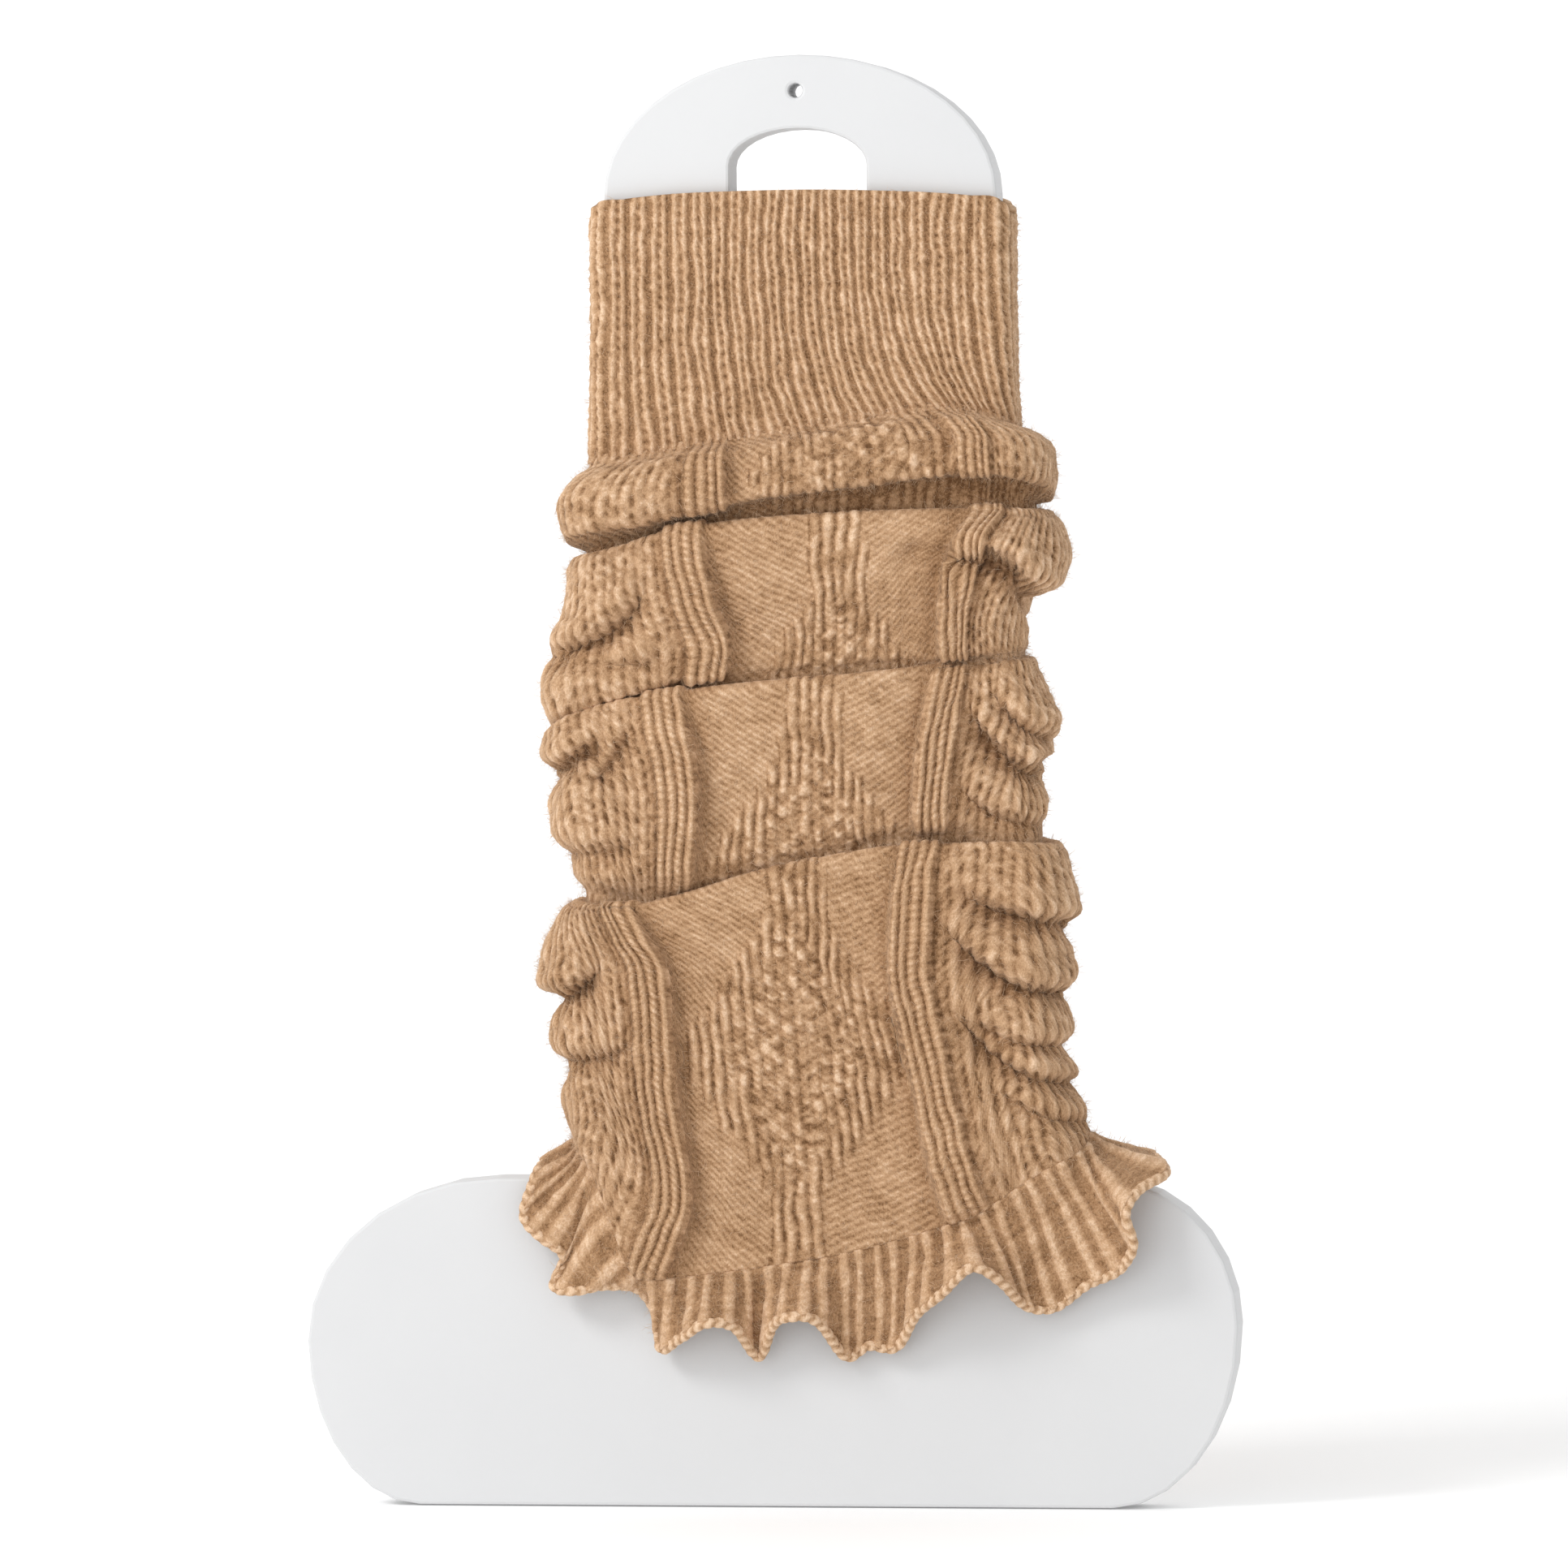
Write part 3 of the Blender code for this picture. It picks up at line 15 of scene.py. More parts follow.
import bpy
import numpy as np
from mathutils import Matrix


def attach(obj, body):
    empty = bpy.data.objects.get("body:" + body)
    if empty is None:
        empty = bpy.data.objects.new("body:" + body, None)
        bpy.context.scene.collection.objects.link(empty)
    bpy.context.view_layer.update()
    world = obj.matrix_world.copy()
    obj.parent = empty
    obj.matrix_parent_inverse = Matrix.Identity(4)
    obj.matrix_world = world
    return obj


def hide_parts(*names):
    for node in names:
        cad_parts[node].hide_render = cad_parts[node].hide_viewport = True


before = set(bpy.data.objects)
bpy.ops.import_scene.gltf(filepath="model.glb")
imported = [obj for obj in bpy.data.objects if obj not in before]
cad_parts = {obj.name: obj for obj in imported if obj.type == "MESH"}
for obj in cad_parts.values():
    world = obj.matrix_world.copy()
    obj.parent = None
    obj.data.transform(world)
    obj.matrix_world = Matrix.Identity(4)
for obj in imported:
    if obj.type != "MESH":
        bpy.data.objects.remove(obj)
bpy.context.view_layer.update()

LOG = logging.getLogger("leg_warmer")
MM = 0.001
TAU = 2.0 * math.pi
NOISE_CELLS = 256
STITCH_ROWS = 512
UV_MAP = "stitches"
# Point attribute that sets the yarn's lightness: painted shade and highlight of the stitches and folds,
# with some random unevenness.
TONE = "tone"
Array = np.ndarray
Thing = bpy.types.Object
Socket = bpy.types.NodeSocket
Inputs = dict[str | int, object]
Triple = tuple[float, float, float]
Pair = tuple[float, float]
Colour = Triple

WALL = 2.2
SNUG_DEPTH = 10.9
TUBE_CENTRE = 12.4
BOARD_THICKNESS = 18.0
BOARD_EDGE = 1.5
LEG_LEFT = -48.6
LEG_RIGHT = 73.2
BAND_LEFT = 0.134
CENTRE = 0.25
BAND_RIGHT = 0.366
BAND_HALF = 0.0165
HALF_TURN = 0.5
STATIONS = (0.0, 0.067, BAND_LEFT, CENTRE, BAND_RIGHT, 0.433, HALF_TURN)
SIDE_STATIONS = (0.0, 0.10, CENTRE, 0.40, HALF_TURN)


class Face(Enum):
    """Face of the tube, as the sign of its outward Y."""

    FRONT = -1
    BACK = 1


class Held(Enum):
    """How a sheet of knit is held in its shape."""

    STRETCHED = "stretched"
    GATHERED = "gathered"


class Node(Enum):
    """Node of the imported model."""

    BOARD = "display_board"
    CUFF = "ribbed_cuff"
    LEG = "leg_body"
    HEM = "ruffled_hem"


# ------------------------------------------------------------------ tables of the knit's form
@dataclass(frozen=True)
class GuideLine:
    """Line round the tube: heights at the stations, X of bands and middle, reach each way."""

    name: str
    heights: tuple[float, ...]
    bands: Triple
    reach: Pair


@dataclass(frozen=True)
class ProfileRow:
    """Row of the profile: place between two guide lines and distance off the board."""

    line: str
    share: float
    drop: float
    step: float
    out: Triple
    sides: float


@dataclass(frozen=True)
class Tuck:
    """Upward-lapping fold below a guide line, with its fullness at left, middle and right."""

    line: str
    above: str
    full: Triple
    lead_out: float


@dataclass(frozen=True)
class Crease:
    """Soft trough from one point of a face to another, bowed."""

    face: Face
    start: Pair
    end: Pair
    bow: float
    depth: float
    half: float


@dataclass(frozen=True)
class Diamond:
    """Moss-stitch diamond on one panel of the front: its middle and half sizes."""

    panel: int
    x: float
    z: float
    half_x: float
    half_z: float


@dataclass(frozen=True)
class EdgePoint:
    """Point of the hem's edge: rib number, X, height and depth in front of the middle plane."""

    rib: float
    x: float
    z: float
    depth: float


def _line(name: str, *sizes: float) -> GuideLine:
    """Guide line from seven heights, three band places and two reaches."""
    return GuideLine(name, sizes[:7], sizes[7:10], sizes[10:12])


def _row(line: str, share: float, drop: float, step: float, *rest: float) -> ProfileRow:
    """Profile row from its three distances out and its side share."""
    return ProfileRow(line, share, drop, step, rest[:3], rest[3])


GUIDE_LINES = (
    _line("cuff_top", 399.2, 404.0, 405.5, 406.0, 405.2, 403.8, 399.2, -18.6, 12.4, 43.4, -53.0, 77.0),
    _line("cuff_end", 324.2, 325.8, 329.8, 334.8, 339.0, 337.2, 332.8, -14.6, 20.4, 56.6, -54.2, 78.2),
    _line("roll_crown", 307.4, 312.6, 317.8, 323.8, 327.6, 326.4, 322.2, -15.1, 24.1, 68.4, -63.6, 88.9),
    _line("roll_low", 298.4, 302.2, 308.4, 314.8, 318.6, 316.6, 310.8, -15.6, 24.4, 68.9, -62.6, 88.9),
    _line("roll_end", 288.2, 292.2, 298.8, 302.5, 303.8, 303.0, 302.0, -17.1, 23.9, 68.4, -55.6, 83.4),
    _line("tuck_1", 292.2, 296.8, 303.5, 307.2, 308.5, 307.8, 306.5, -24.0, 23.4, 72.6, -61.1, 89.4),
    _line("leg_1", 278.5, 279.2, 281.0, 284.8, 289.2, 291.8, 293.2, -20.2, 23.4, 62.9, -62.4, 93.4),
    _line("leg_1_low", 249.8, 258.5, 266.0, 269.8, 271.8, 273.5, 273.8, -14.6, 22.9, 61.1, -70.6, 81.4),
    _line("leg_1_end", 229.8, 242.2, 247.8, 252.0, 254.8, 256.2, 256.2, -20.6, 22.9, 60.4, -63.6, 79.4),
    _line("tuck_2", 233.5, 247.2, 252.5, 256.8, 259.8, 260.8, 260.8, -30.9, 15.4, 59.4, -69.6, 82.4),
    _line("leg_2", 213.5, 218.5, 223.5, 228.5, 232.2, 236.0, 239.8, -25.1, 15.4, 54.1, -67.6, 89.4),
    _line("leg_2_end", 184.2, 182.8, 182.2, 194.8, 200.8, 201.0, 199.8, -30.1, 15.4, 51.6, -56.6, 84.4),
    _line("tuck_3", 188.0, 187.2, 186.8, 199.2, 205.5, 205.8, 204.2, -47.6, 6.6, 48.4, -62.1, 90.9),
    _line("leg_3", 168.5, 167.8, 164.8, 167.2, 169.8, 177.2, 184.8, -35.1, 8.4, 45.6, -70.6, 94.6),
    _line("leg_3_mid", 142.2, 137.2, 128.5, 131.0, 135.2, 144.8, 152.2, -33.2, 11.4, 52.4, -66.4, 92.4),
    _line("leg_3_low", 128.5, 121.0, 98.0, 101.0, 108.5, 121.0, 131.0, -28.6, 12.9, 58.4, -64.6, 95.9),
    _line("hem_seam", 116.8, 104.0, 71.0, 77.2, 90.5, 104.8, 115.2, -38.6, 15.4, 64.1, -59.9, 99.9),
)
LINE_AT = {line.name: index for index, line in enumerate(GUIDE_LINES)}
BACK_HEIGHTS = {
    "leg_3_low": (128.5, 122.0, 110.0, 103.0, 110.0, 121.0, 131.0),
    "hem_seam": (116.8, 104.6, 88.0, 79.0, 87.0, 104.8, 115.2),
}
ROLL_ROWS = (
    _row("cuff_end", 0.00, -1.0, 0.0, -0.3, -0.3, -0.3, 0.0),
    _row("cuff_end", 0.00, 0.6, 0.0, 0.2, 0.2, 0.2, 0.0),
    _row("cuff_end", 0.16, 1.0, 0.0, 2.6, 2.2, 2.8, 0.1),
    _row("cuff_end", 0.50, 0.0, 0.0, 7.2, 7.0, 8.4, 0.5),
    _row("roll_crown", 0.00, 0.0, 0.0, 9.0, 9.4, 11.0, 0.6),
    _row("roll_crown", 0.50, 0.0, 0.0, 9.4, 10.0, 11.8, 0.4),
    _row("roll_low", 0.00, -1.2, 0.0, 8.0, 9.0, 11.2, 0.2),
    _row("roll_low", 0.00, 0.2, 0.0, 3.8, 2.2, 1.6, 0.1),
)
UPPER_ROWS = (
    _row("tuck_1", 0.25, 0.0, 0.97, 0.6, 0.0, 1.4, 0.3),
    _row("tuck_1", 0.65, 0.0, 0.92, 1.6, 0.0, 3.0, 1.0),
    _row("leg_1", 0.10, 0.0, 0.80, 2.0, 0.0, 2.6, 1.0),
    _row("leg_1", 0.55, 0.0, 0.58, 1.6, 0.2, 0.6, 1.0),
    _row("leg_1_low", 0.00, 0.0, 0.38, 2.2, 0.2, 0.6, 1.0),
    _row("leg_1_low", 0.45, 0.0, 0.20, 1.2, 0.2, 0.5, 0.6),
)
MIDDLE_ROWS = (
    _row("tuck_2", 0.18, 0.0, 0.98, 0.5, 0.0, 1.0, 0.3),
    _row("tuck_2", 0.55, 0.0, 0.95, 1.8, 0.0, 2.4, 1.0),
    _row("leg_2", 0.00, 0.0, 0.85, 2.4, 0.0, 3.0, 1.0),
    _row("leg_2", 0.32, 0.0, 0.66, 2.2, 0.2, 2.6, 1.0),
    _row("leg_2", 0.62, 0.0, 0.40, 1.4, 0.2, 1.6, 0.9),
)
LOWER_ROWS = (
    _row("tuck_3", 0.16, 0.0, 0.98, 0.5, 0.0, 0.6, 0.3),
    _row("tuck_3", 0.55, 0.0, 0.95, 2.0, 0.0, 1.8, 1.0),
    _row("leg_3", 0.00, 0.0, 0.90, 3.0, 0.2, 2.6, 1.0),
    _row("leg_3", 0.33, 0.0, 0.86, 2.8, 0.3, 2.6, 1.0),
    _row("leg_3", 0.67, 0.0, 0.82, 2.6, 0.3, 2.6, 1.0),
    _row("leg_3_mid", 0.00, 0.0, 0.78, 2.6, 0.2, 2.6, 1.0),
    _row("leg_3_mid", 0.50, 0.0, 0.76, 2.8, 0.1, 2.6, 1.0),
    _row("leg_3_low", 0.00, 0.0, 0.74, 3.0, 0.1, 2.4, 1.0),
    _row("leg_3_low", 0.50, 0.0, 0.74, 2.6, 0.2, 1.8, 0.8),
    _row("hem_seam", 0.00, 0.0, 0.74, 2.0, 0.4, 1.2, 0.5),
)
TUCKS = (
    (Tuck("tuck_1", "roll_end", (1.00, 1.00, 1.00), 0.5), UPPER_ROWS),
    (Tuck("tuck_2", "leg_1_end", (1.00, 1.00, 0.16), 0.4), MIDDLE_ROWS),
    (Tuck("tuck_3", "leg_2_end", (1.00, 1.00, 0.90), 0.4), LOWER_ROWS),
)
FRONT_CREASES = (
    ((-62.1, 264.2), (-33.4, 284.2), -3.5, 4.8, 4.4),
    ((-59.6, 261.8), (-26.1, 263.2), -1.5, 2.4, 4.0),
    ((-68.6, 228.2), (-47.6, 238.5), -1.5, 6.0, 4.4),
    ((-50.9, 225.2), (-38.6, 243.5), -1.0, 3.6, 3.8),
    ((-65.6, 203.2), (-36.6, 206.2), -1.5, 3.0, 4.4),
    ((-70.6, 156.8), (-48.4, 167.2), -2.0, 6.0, 4.4),
    ((-66.6, 138.8), (-39.1, 142.8), -1.5, 3.2, 4.4),
    ((86.4, 275.2), (57.6, 294.0), 7.0, 7.6, 5.0),
    ((62.0, 289.0), (42.0, 297.0), 2.0, 2.6, 7.5),
    ((92.4, 235.8), (70.4, 252.2), -2.5, 4.4, 3.8),
    ((91.4, 224.2), (63.9, 246.8), -4.5, 6.2, 4.4),
    ((90.4, 208.8), (60.4, 222.8), -3.5, 3.8, 4.0),
    ((97.9, 180.2), (57.4, 192.2), -3.0, 5.4, 4.2),
    ((96.9, 158.2), (55.9, 180.8), -5.5, 6.0, 4.4),
    ((95.9, 142.2), (62.4, 152.2), -2.5, 3.4, 3.8),
    ((95.4, 130.2), (58.9, 154.8), -5.0, 5.2, 4.2),
    ((101.9, 117.2), (69.4, 132.2), -2.5, 2.8, 4.4),
)
BACK_CREASES = (
    ((-64.0, 262.0), (-28.0, 276.0), -3.0, 4.6, 4.6),
    ((-69.0, 226.0), (-30.0, 232.0), -3.0, 5.4, 4.6),
    ((-71.0, 157.0), (-36.0, 150.0), 2.5, 5.6, 4.6),
    ((-66.0, 136.0), (-20.0, 128.0), 2.0, 3.8, 4.8),
    ((-10.0, 228.0), (34.0, 222.0), 3.0, 2.6, 5.0),
    ((-6.0, 150.0), (40.0, 158.0), -3.0, 3.4, 5.0),
    ((90.0, 272.0), (50.0, 282.0), -3.0, 5.2, 4.6),
    ((92.0, 230.0), (54.0, 240.0), -4.0, 5.2, 4.6),
    ((98.0, 178.0), (60.0, 170.0), 3.0, 5.4, 4.6),
    ((97.0, 142.0), (52.0, 134.0), 3.0, 4.4, 4.6),
)
CREASES = tuple(
    Crease(face, *sizes)
    for face, table in ((Face.FRONT, FRONT_CREASES), (Face.BACK, BACK_CREASES))
    for sizes in table
)
DIAMONDS = (
    Diamond(0, 33.0, 318.0, 36.0, 40.0),
    Diamond(1, 24.0, 247.5, 30.0, 47.0),
    Diamond(2, 15.5, 190.0, 40.0, 55.0),
    Diamond(3, 10.0, 140.5, 37.5, 55.0),
)
HEM_EDGE = (
    (0.0, -69.1, 106.4, 0.0),
    (0.9, -71.3, 105.0, 9.0),
    (1.8, -73.3, 99.0, 14.5),
    (3.0, -75.1, 89.8, 17.0),
    (4.0, -70.1, 84.2, 18.5),
    (4.9, -63.1, 78.5, 17.0),
    (6.1, -65.9, 68.5, 17.0),
    (7.0, -59.1, 67.5, 20.0),
    (8.0, -49.1, 69.0, 17.5),
    (8.9, -38.4, 66.5, 15.5),
    (9.3, -35.0, 61.0, 14.5),
    (10.0, -33.4, 49.8, 15.0),
    (10.9, -26.6, 52.8, 21.0),
    (12.6, -17.1, 58.2, 27.0),
    (13.95, -8.9, 56.5, 23.0),
    (15.1, -2.1, 47.2, 14.5),
    (15.8, 2.4, 56.5, 21.0),
    (16.95, 9.1, 60.2, 27.0),
    (18.4, 17.4, 58.0, 23.5),
    (19.6, 24.1, 47.2, 14.5),
    (20.9, 30.9, 50.2, 14.0),
    (22.8, 41.4, 51.2, 15.5),
    (23.8, 46.9, 60.2, 21.0),
    (25.0, 55.4, 67.2, 27.0),
    (26.3, 66.4, 76.0, 31.0),
    (27.3, 74.4, 70.8, 26.0),
    (28.2, 79.6, 63.8, 18.0),
    (29.4, 87.9, 62.0, 14.5),
    (31.0, 99.4, 69.5, 16.5),
    (32.6, 111.1, 75.8, 20.0),
    (33.5, 114.6, 83.2, 25.0),
    (34.2, 112.6, 92.2, 27.0),
    (34.9, 116.4, 99.2, 22.0),
    (35.5, 123.4, 103.6, 12.0),
)
HEM_FRONT = tuple(EdgePoint(*sizes) for sizes in HEM_EDGE)


# ------------------------------------------------------------------ curves and noise
def cubic(t: Array, start: Array, leave: Array, end: Array, arrive: Array) -> Array:
    """Cubic between two values, with its rates at both ends.

    Args:
        t: Shares of the way.
        start: Values at share 0.
        leave: Rates at share 0.
        end: Values at share 1.
        arrive: Rates at share 1.

    Returns:
        Values at the shares.
    """
    ahead = 3 * t**2 - 2 * t**3
    bent = (t**3 - 2 * t**2 + t) * leave + (t**3 - t**2) * arrive
    return (1 - ahead) * start + ahead * end + bent


def pchip(knots: Array, values: Array, at: Array) -> Array:
    """Monotone cubic through values at knots.

    Args:
        knots: Increasing places of the values.
        values: Values, with the knots along the last axis.
        at: Places to read.

    Returns:
        Values read at those places, along the last axis.
    """
    x, y = np.asarray(knots, float), np.asarray(values, float)
    h = np.diff(x)
    d = np.diff(y, axis=-1) / h
    w1, w2 = 2 * h[1:] + h[:-1], h[1:] + 2 * h[:-1]
    with np.errstate(divide="ignore", invalid="ignore"):
        mean = (w1 + w2) / (w1 / d[..., :-1] + w2 / d[..., 1:])
    inner = np.where(d[..., :-1] * d[..., 1:] > 0, np.nan_to_num(mean), 0.0)
    m = np.concatenate([d[..., :1], inner, d[..., -1:]], axis=-1)
    a = np.clip(np.asarray(at, float), x[0], x[-1])
    k = np.clip(np.searchsorted(x, a, side="right") - 1, 0, len(x) - 2)
    rates = h[k] * m[..., k], h[k] * m[..., k + 1]
    return cubic((a - x[k]) / h[k], y[..., k], rates[0], y[..., k + 1], rates[1])


def row_curve(knots: Array, values: Array, k: Array, t: Array) -> Array:
    """Smooth cubic down the rows of a table.

    Args:
        knots: Increasing places of the rows, for each column or one for all.
        values: Rows of values.
        k: Row before each point that is read.
        t: Share of the way from that row to the next.

    Returns:
        One row of values for each point.
    """
    h = np.diff(knots, axis=0)
    d = np.diff(values, axis=0) / h
    m = np.vstack([d[:1], (d[:-1] * h[1:] + d[1:] * h[:-1]) / (h[:-1] + h[1:]), d[-1:]])
    return cubic(t[:, None], values[k], h[k] * m[k], values[k + 1], h[k] * m[k + 1])


def smooth(low: float, high: float, value: Array) -> Array:
    """Smooth step from 0 at low to 1 at high."""
    t = np.clip((value - low) / (high - low), 0.0, 1.0)
    return t * t * (3 - 2 * t)


def bell(value: Array, width: float | Array) -> Array:
    """Soft bump that is 1 at 0 and fades over a width."""
    return np.exp(-((value / width) ** 2))


def wave(turns: Array) -> Array:
    """Cosine wave from 0 to 1, highest at whole turns."""
    return 0.5 + 0.5 * np.cos(TAU * turns)


def unit(vectors: Array) -> Array:
    """Vectors along the last axis at length 1."""
    return vectors / np.maximum(np.linalg.norm(vectors, axis=-1, keepdims=True), 1e-12)


def down_lengths(points: Array) -> Array:
    """Length down each column of a grid of points, from 0 in its first row."""
    steps = np.linalg.norm(np.diff(points, axis=0), axis=-1)
    return np.vstack([np.zeros((1, points.shape[1])), np.cumsum(steps, axis=0)])


def front_share(u: Array) -> Array:
    """Share of the turn folded on to the front, so that the back takes the same guide lines."""
    turn = np.mod(u, 1.0)
    return np.where(turn <= HALF_TURN, turn, 1.0 - turn)


def face_sign(u: Array) -> Array:
    """Sign of the outward Y of the face at shares of the turn."""
    return np.where(np.mod(u, 1.0) <= HALF_TURN, Face.FRONT.value, Face.BACK.value)


def across(u: Array, values: Triple) -> Array:
    """Value that runs from the left side over the middle to the right side.

    Args:
        u: Shares of the turn.
        values: Values at the left, in the middle and at the right.

    Returns:
        Values at the shares.
    """
    left, middle, right = values
    return pchip(SIDE_STATIONS, (left, left, middle, right, right), front_share(u))


def value_noise(x: Array, y: Array, seed: int, period: int) -> Array:
    """Smooth noise from -1 to 1.

    Args:
        x: First coordinate, in cells; it repeats after period cells.
        y: Second coordinate, in cells.
        seed: Seed of the table of random values.
        period: Cells after which x repeats.

    Returns:
        Noise at the points.
    """
    table = np.random.default_rng(seed).uniform(-1.0, 1.0, (period, NOISE_CELLS))
    xi, yi = np.floor(x).astype(int), np.floor(y).astype(int)
    fx, fy = x - xi, y - yi
    fx, fy = fx * fx * (3 - 2 * fx), fy * fy * (3 - 2 * fy)
    x0, x1, y0, y1 = xi % period, (xi + 1) % period, yi % NOISE_CELLS, (yi + 1) % NOISE_CELLS
    low = table[x0, y0] * (1 - fx) + table[x1, y0] * fx
    high = table[x0, y1] * (1 - fx) + table[x1, y1] * fx
    return low * (1 - fy) + high * fy


@dataclass(frozen=True)
class Places:
    """Places on a tube of knit: wale numbers round it and lengths down it."""

    wale: Array
    down: Array
    total: int

    def noise(self, seed: int, wales: float, length: float) -> Array:
        """Smooth noise from -1 to 1 in cells so many wales wide and millimetres long."""
        return value_noise(self.wale / wales, self.down / length, seed, int(self.total / wales))


def stitch_noise(wale: Array, course: Array, seed: int, period: int) -> Array:
    """Random number from -1 to 1 for each stitch, repeating after period wales."""
    table = np.random.default_rng(seed).uniform(-1.0, 1.0, (period, STITCH_ROWS))
    return table[np.floor(wale).astype(int) % period, np.floor(course).astype(int) % STITCH_ROWS]


def grid_normals(points: Array) -> Array:
    """Outward unit normals of a grid of points that is closed round its columns.

    Args:
        points: Rows by columns by 3.

    Returns:
        Unit normals of the same shape.
    """
    padded = np.concatenate([points[:1], points, points[-1:]])
    side = np.roll(points, -1, axis=1) - np.roll(points, 1, axis=1)
    return unit(np.cross(padded[2:] - padded[:-2], side))


# ------------------------------------------------------------------ relief of single stitches
def strokes(wale: Array, course: Array, right: Array) -> Array:
    """Fine slanting strokes of flat knit.

    Args:
        wale: Wale coordinate.
        course: Course coordinate, growing downwards.
        right: 1 where the strokes that rise to the right are the stronger, else 0.

    Returns:
        Height of the yarn from 0 to 1.
    """
    weight = 0.17 + 0.66 * right
    return wave(wale - course) * (1 - weight) + wave(wale + course) * weight


def strand(wale: Array, half: float, power: float) -> Array:
    """Rounded strand along the middle of each wale, zero in the grooves between."""
    return np.clip(1 - ((wale - np.floor(wale) - 0.5) / half) ** 2, 0.0, 1.0) ** power


def knit_and_purl(wale: Array, course: Array, period: float) -> Array:
    """Knit and purl in turn down each wale, opposite in the next one."""
    return smooth(-0.45, 0.45, np.cos(TAU * course / period + np.pi * np.floor(wale)))


def checks(x: Array, y: Array) -> Array:
    """Soft checkerboard of raised cells one unit wide and high."""
    height = np.cos(np.pi * x) * np.cos(np.pi * y)
    return 0.5 + 0.5 * np.sign(height) * np.abs(height) ** 0.6


def pits(wale: Array, course: Array, period: float, half: float, length: float) -> Array:
    """Dark pits between the wales, staggered from one to the next.

    Args:
        wale: Wale coordinate; the pits lie at whole numbers.
        course: Course coordinate.
        period: Courses from one pit to the next.
        half: Half width in wales.
        length: Half length as a share of the period.

    Returns:
        Depth from 0 to 1.
    """
    k = np.round(wale)
    c = course / period + 0.5 * np.mod(k, 2)
    return bell(wale - k, half) * np.exp(-(((c - np.round(c)) / length) ** 4))


# ------------------------------------------------------------------ form of the slouched tube
@dataclass
class TubeForm:
    """Middle surface of the cuff and of the slouched leg."""

    cuff_corner: float = 5.5
    leg_corner: float = 12.0
    corner_growth: float = 4.0
    side_step: float = 3.6
    side_step_width: float = 0.006
    back_side_step: float = 0.8
    back_side_ends: tuple[float, float, float, float] = (0.08, 0.19, 0.31, 0.42)
    valley_radius: float = 1.40
    crest_radius: float = 1.65
    lap: float = 3.4
    lead_above: float = 2.6
    lead_step: float = 0.4
    lead_guide: float = 0.1
    least_full: float = 0.05
    valley_turns: tuple[float, ...] = (0.0, 0.5, 1.0)
    crest_turns: tuple[float, ...] = (1.0, 0.66, 0.33, 0.0)
    clearance: float = 0.7
    back_sway: float = 1.5
    sway_beat: float = 1.7
    top_corner: float = 5.6
    top_side: float = 403.6
    cuff_bend: float = 4.0
    crease_gain: float = 1.22
    crease_above: float = 0.52
    crease_below: float = 1.15
    crease_lip: float = 0.30
    crease_lip_place: float = -1.25
    crease_lip_width: float = 0.75
    crease_start: float = 0.62
    deep_crease: float = 6.5
    side_reach: float = 60.0
    columns: Array = field(init=False)

    def __post_init__(self) -> None:
        """Gather the guide lines' band places and reaches into one table."""
        self.columns = np.array([line.bands + line.reach for line in GUIDE_LINES]).T

    def line_heights(self, u: Array) -> Array:
        """Height of every guide line at shares u of the turn.

        Args:
            u: Shares of the turn.

        Returns:
            Heights, one row for each guide line.
        """
        front = np.array([line.heights for line in GUIDE_LINES])
        back = front.copy()
        for name, heights in BACK_HEIGHTS.items():
            back[LINE_AT[name]] = heights
        turn = np.mod(u, 1.0)
        bump = np.sin(np.clip(turn - HALF_TURN, 0.0, HALF_TURN) * TAU)
        sway = self.back_sway * np.sin(self.sway_beat * np.arange(len(GUIDE_LINES)))
        sway[:2] = 0.0
        on_back = pchip(STATIONS, back, front_share(u)) + sway[:, None] * bump
        return np.where(turn <= HALF_TURN, pchip(STATIONS, front, front_share(u)), on_back)

    def side_share(self, u: Array) -> Array:
        """How far the knit stands out as on the sides and rib bands.

        Args:
            u: Shares of the turn.

        Returns:
            1 on the sides and bands and 0 on the middle panel, with a soft step on the back.
        """
        f = front_share(u)
        inner_left, inner_right = BAND_LEFT + BAND_HALF, BAND_RIGHT - BAND_HALF
        left = 1 - smooth(inner_left, inner_left + self.side_step_width, f)
        right = smooth(inner_right - self.side_step_width, inner_right, f)
        ends = self.back_side_ends
        soft = 1 - smooth(ends[0], ends[1], f) + smooth(ends[2], ends[3], f)
        return np.where(np.mod(u, 1.0) <= HALF_TURN, left + right, self.back_side_step * soft)

    def tuck_path(self, tuck: Tuck, u: Array) -> tuple[Array, Array, Array]:
        """Rows of one tuck.

        Args:
            tuck: The tuck.
            u: Shares of the turn.

        Returns:
            Distances out, drops from its crest line and the whole step.
        """
        full = np.clip(across(u, tuck.full), self.least_full, 1.0)
        turn, lap = np.pi * full, self.lap * full
        sin, cos = np.sin(turn), np.cos(turn)
        v, c = self.valley_radius, self.crest_radius
        outs = [v * (1 - np.cos(turn * share)) for share in self.valley_turns]
        drops = [-v * np.sin(turn * share) for share in self.valley_turns]
        start_out, start_drop = v * (1 - cos) + lap * sin, -v * sin - lap * cos
        outs += [start_out + c * (np.cos(turn * share) - cos) for share in self.crest_turns]
        drops += [start_drop - c * (sin - np.sin(turn * share)) for share in self.crest_turns]
        half = np.sin(turn / 2)
        top = start_drop - c * (sin - half) + WALL / 2 * half
        return np.array(outs), np.array(drops) - top, (v + c) * (1 - cos) + lap * sin

    def control_rows(self, u: Array) -> tuple[Array, ...]:
        """Profile of the leg.

        Args:
            u: Shares of the turn.

        Returns:
            Heights, distances out and guide places, a row for each profile position, then side
            shares and raise shares, a number for each.
        """
        heights = self.line_heights(u)
        rows: list[tuple] = []

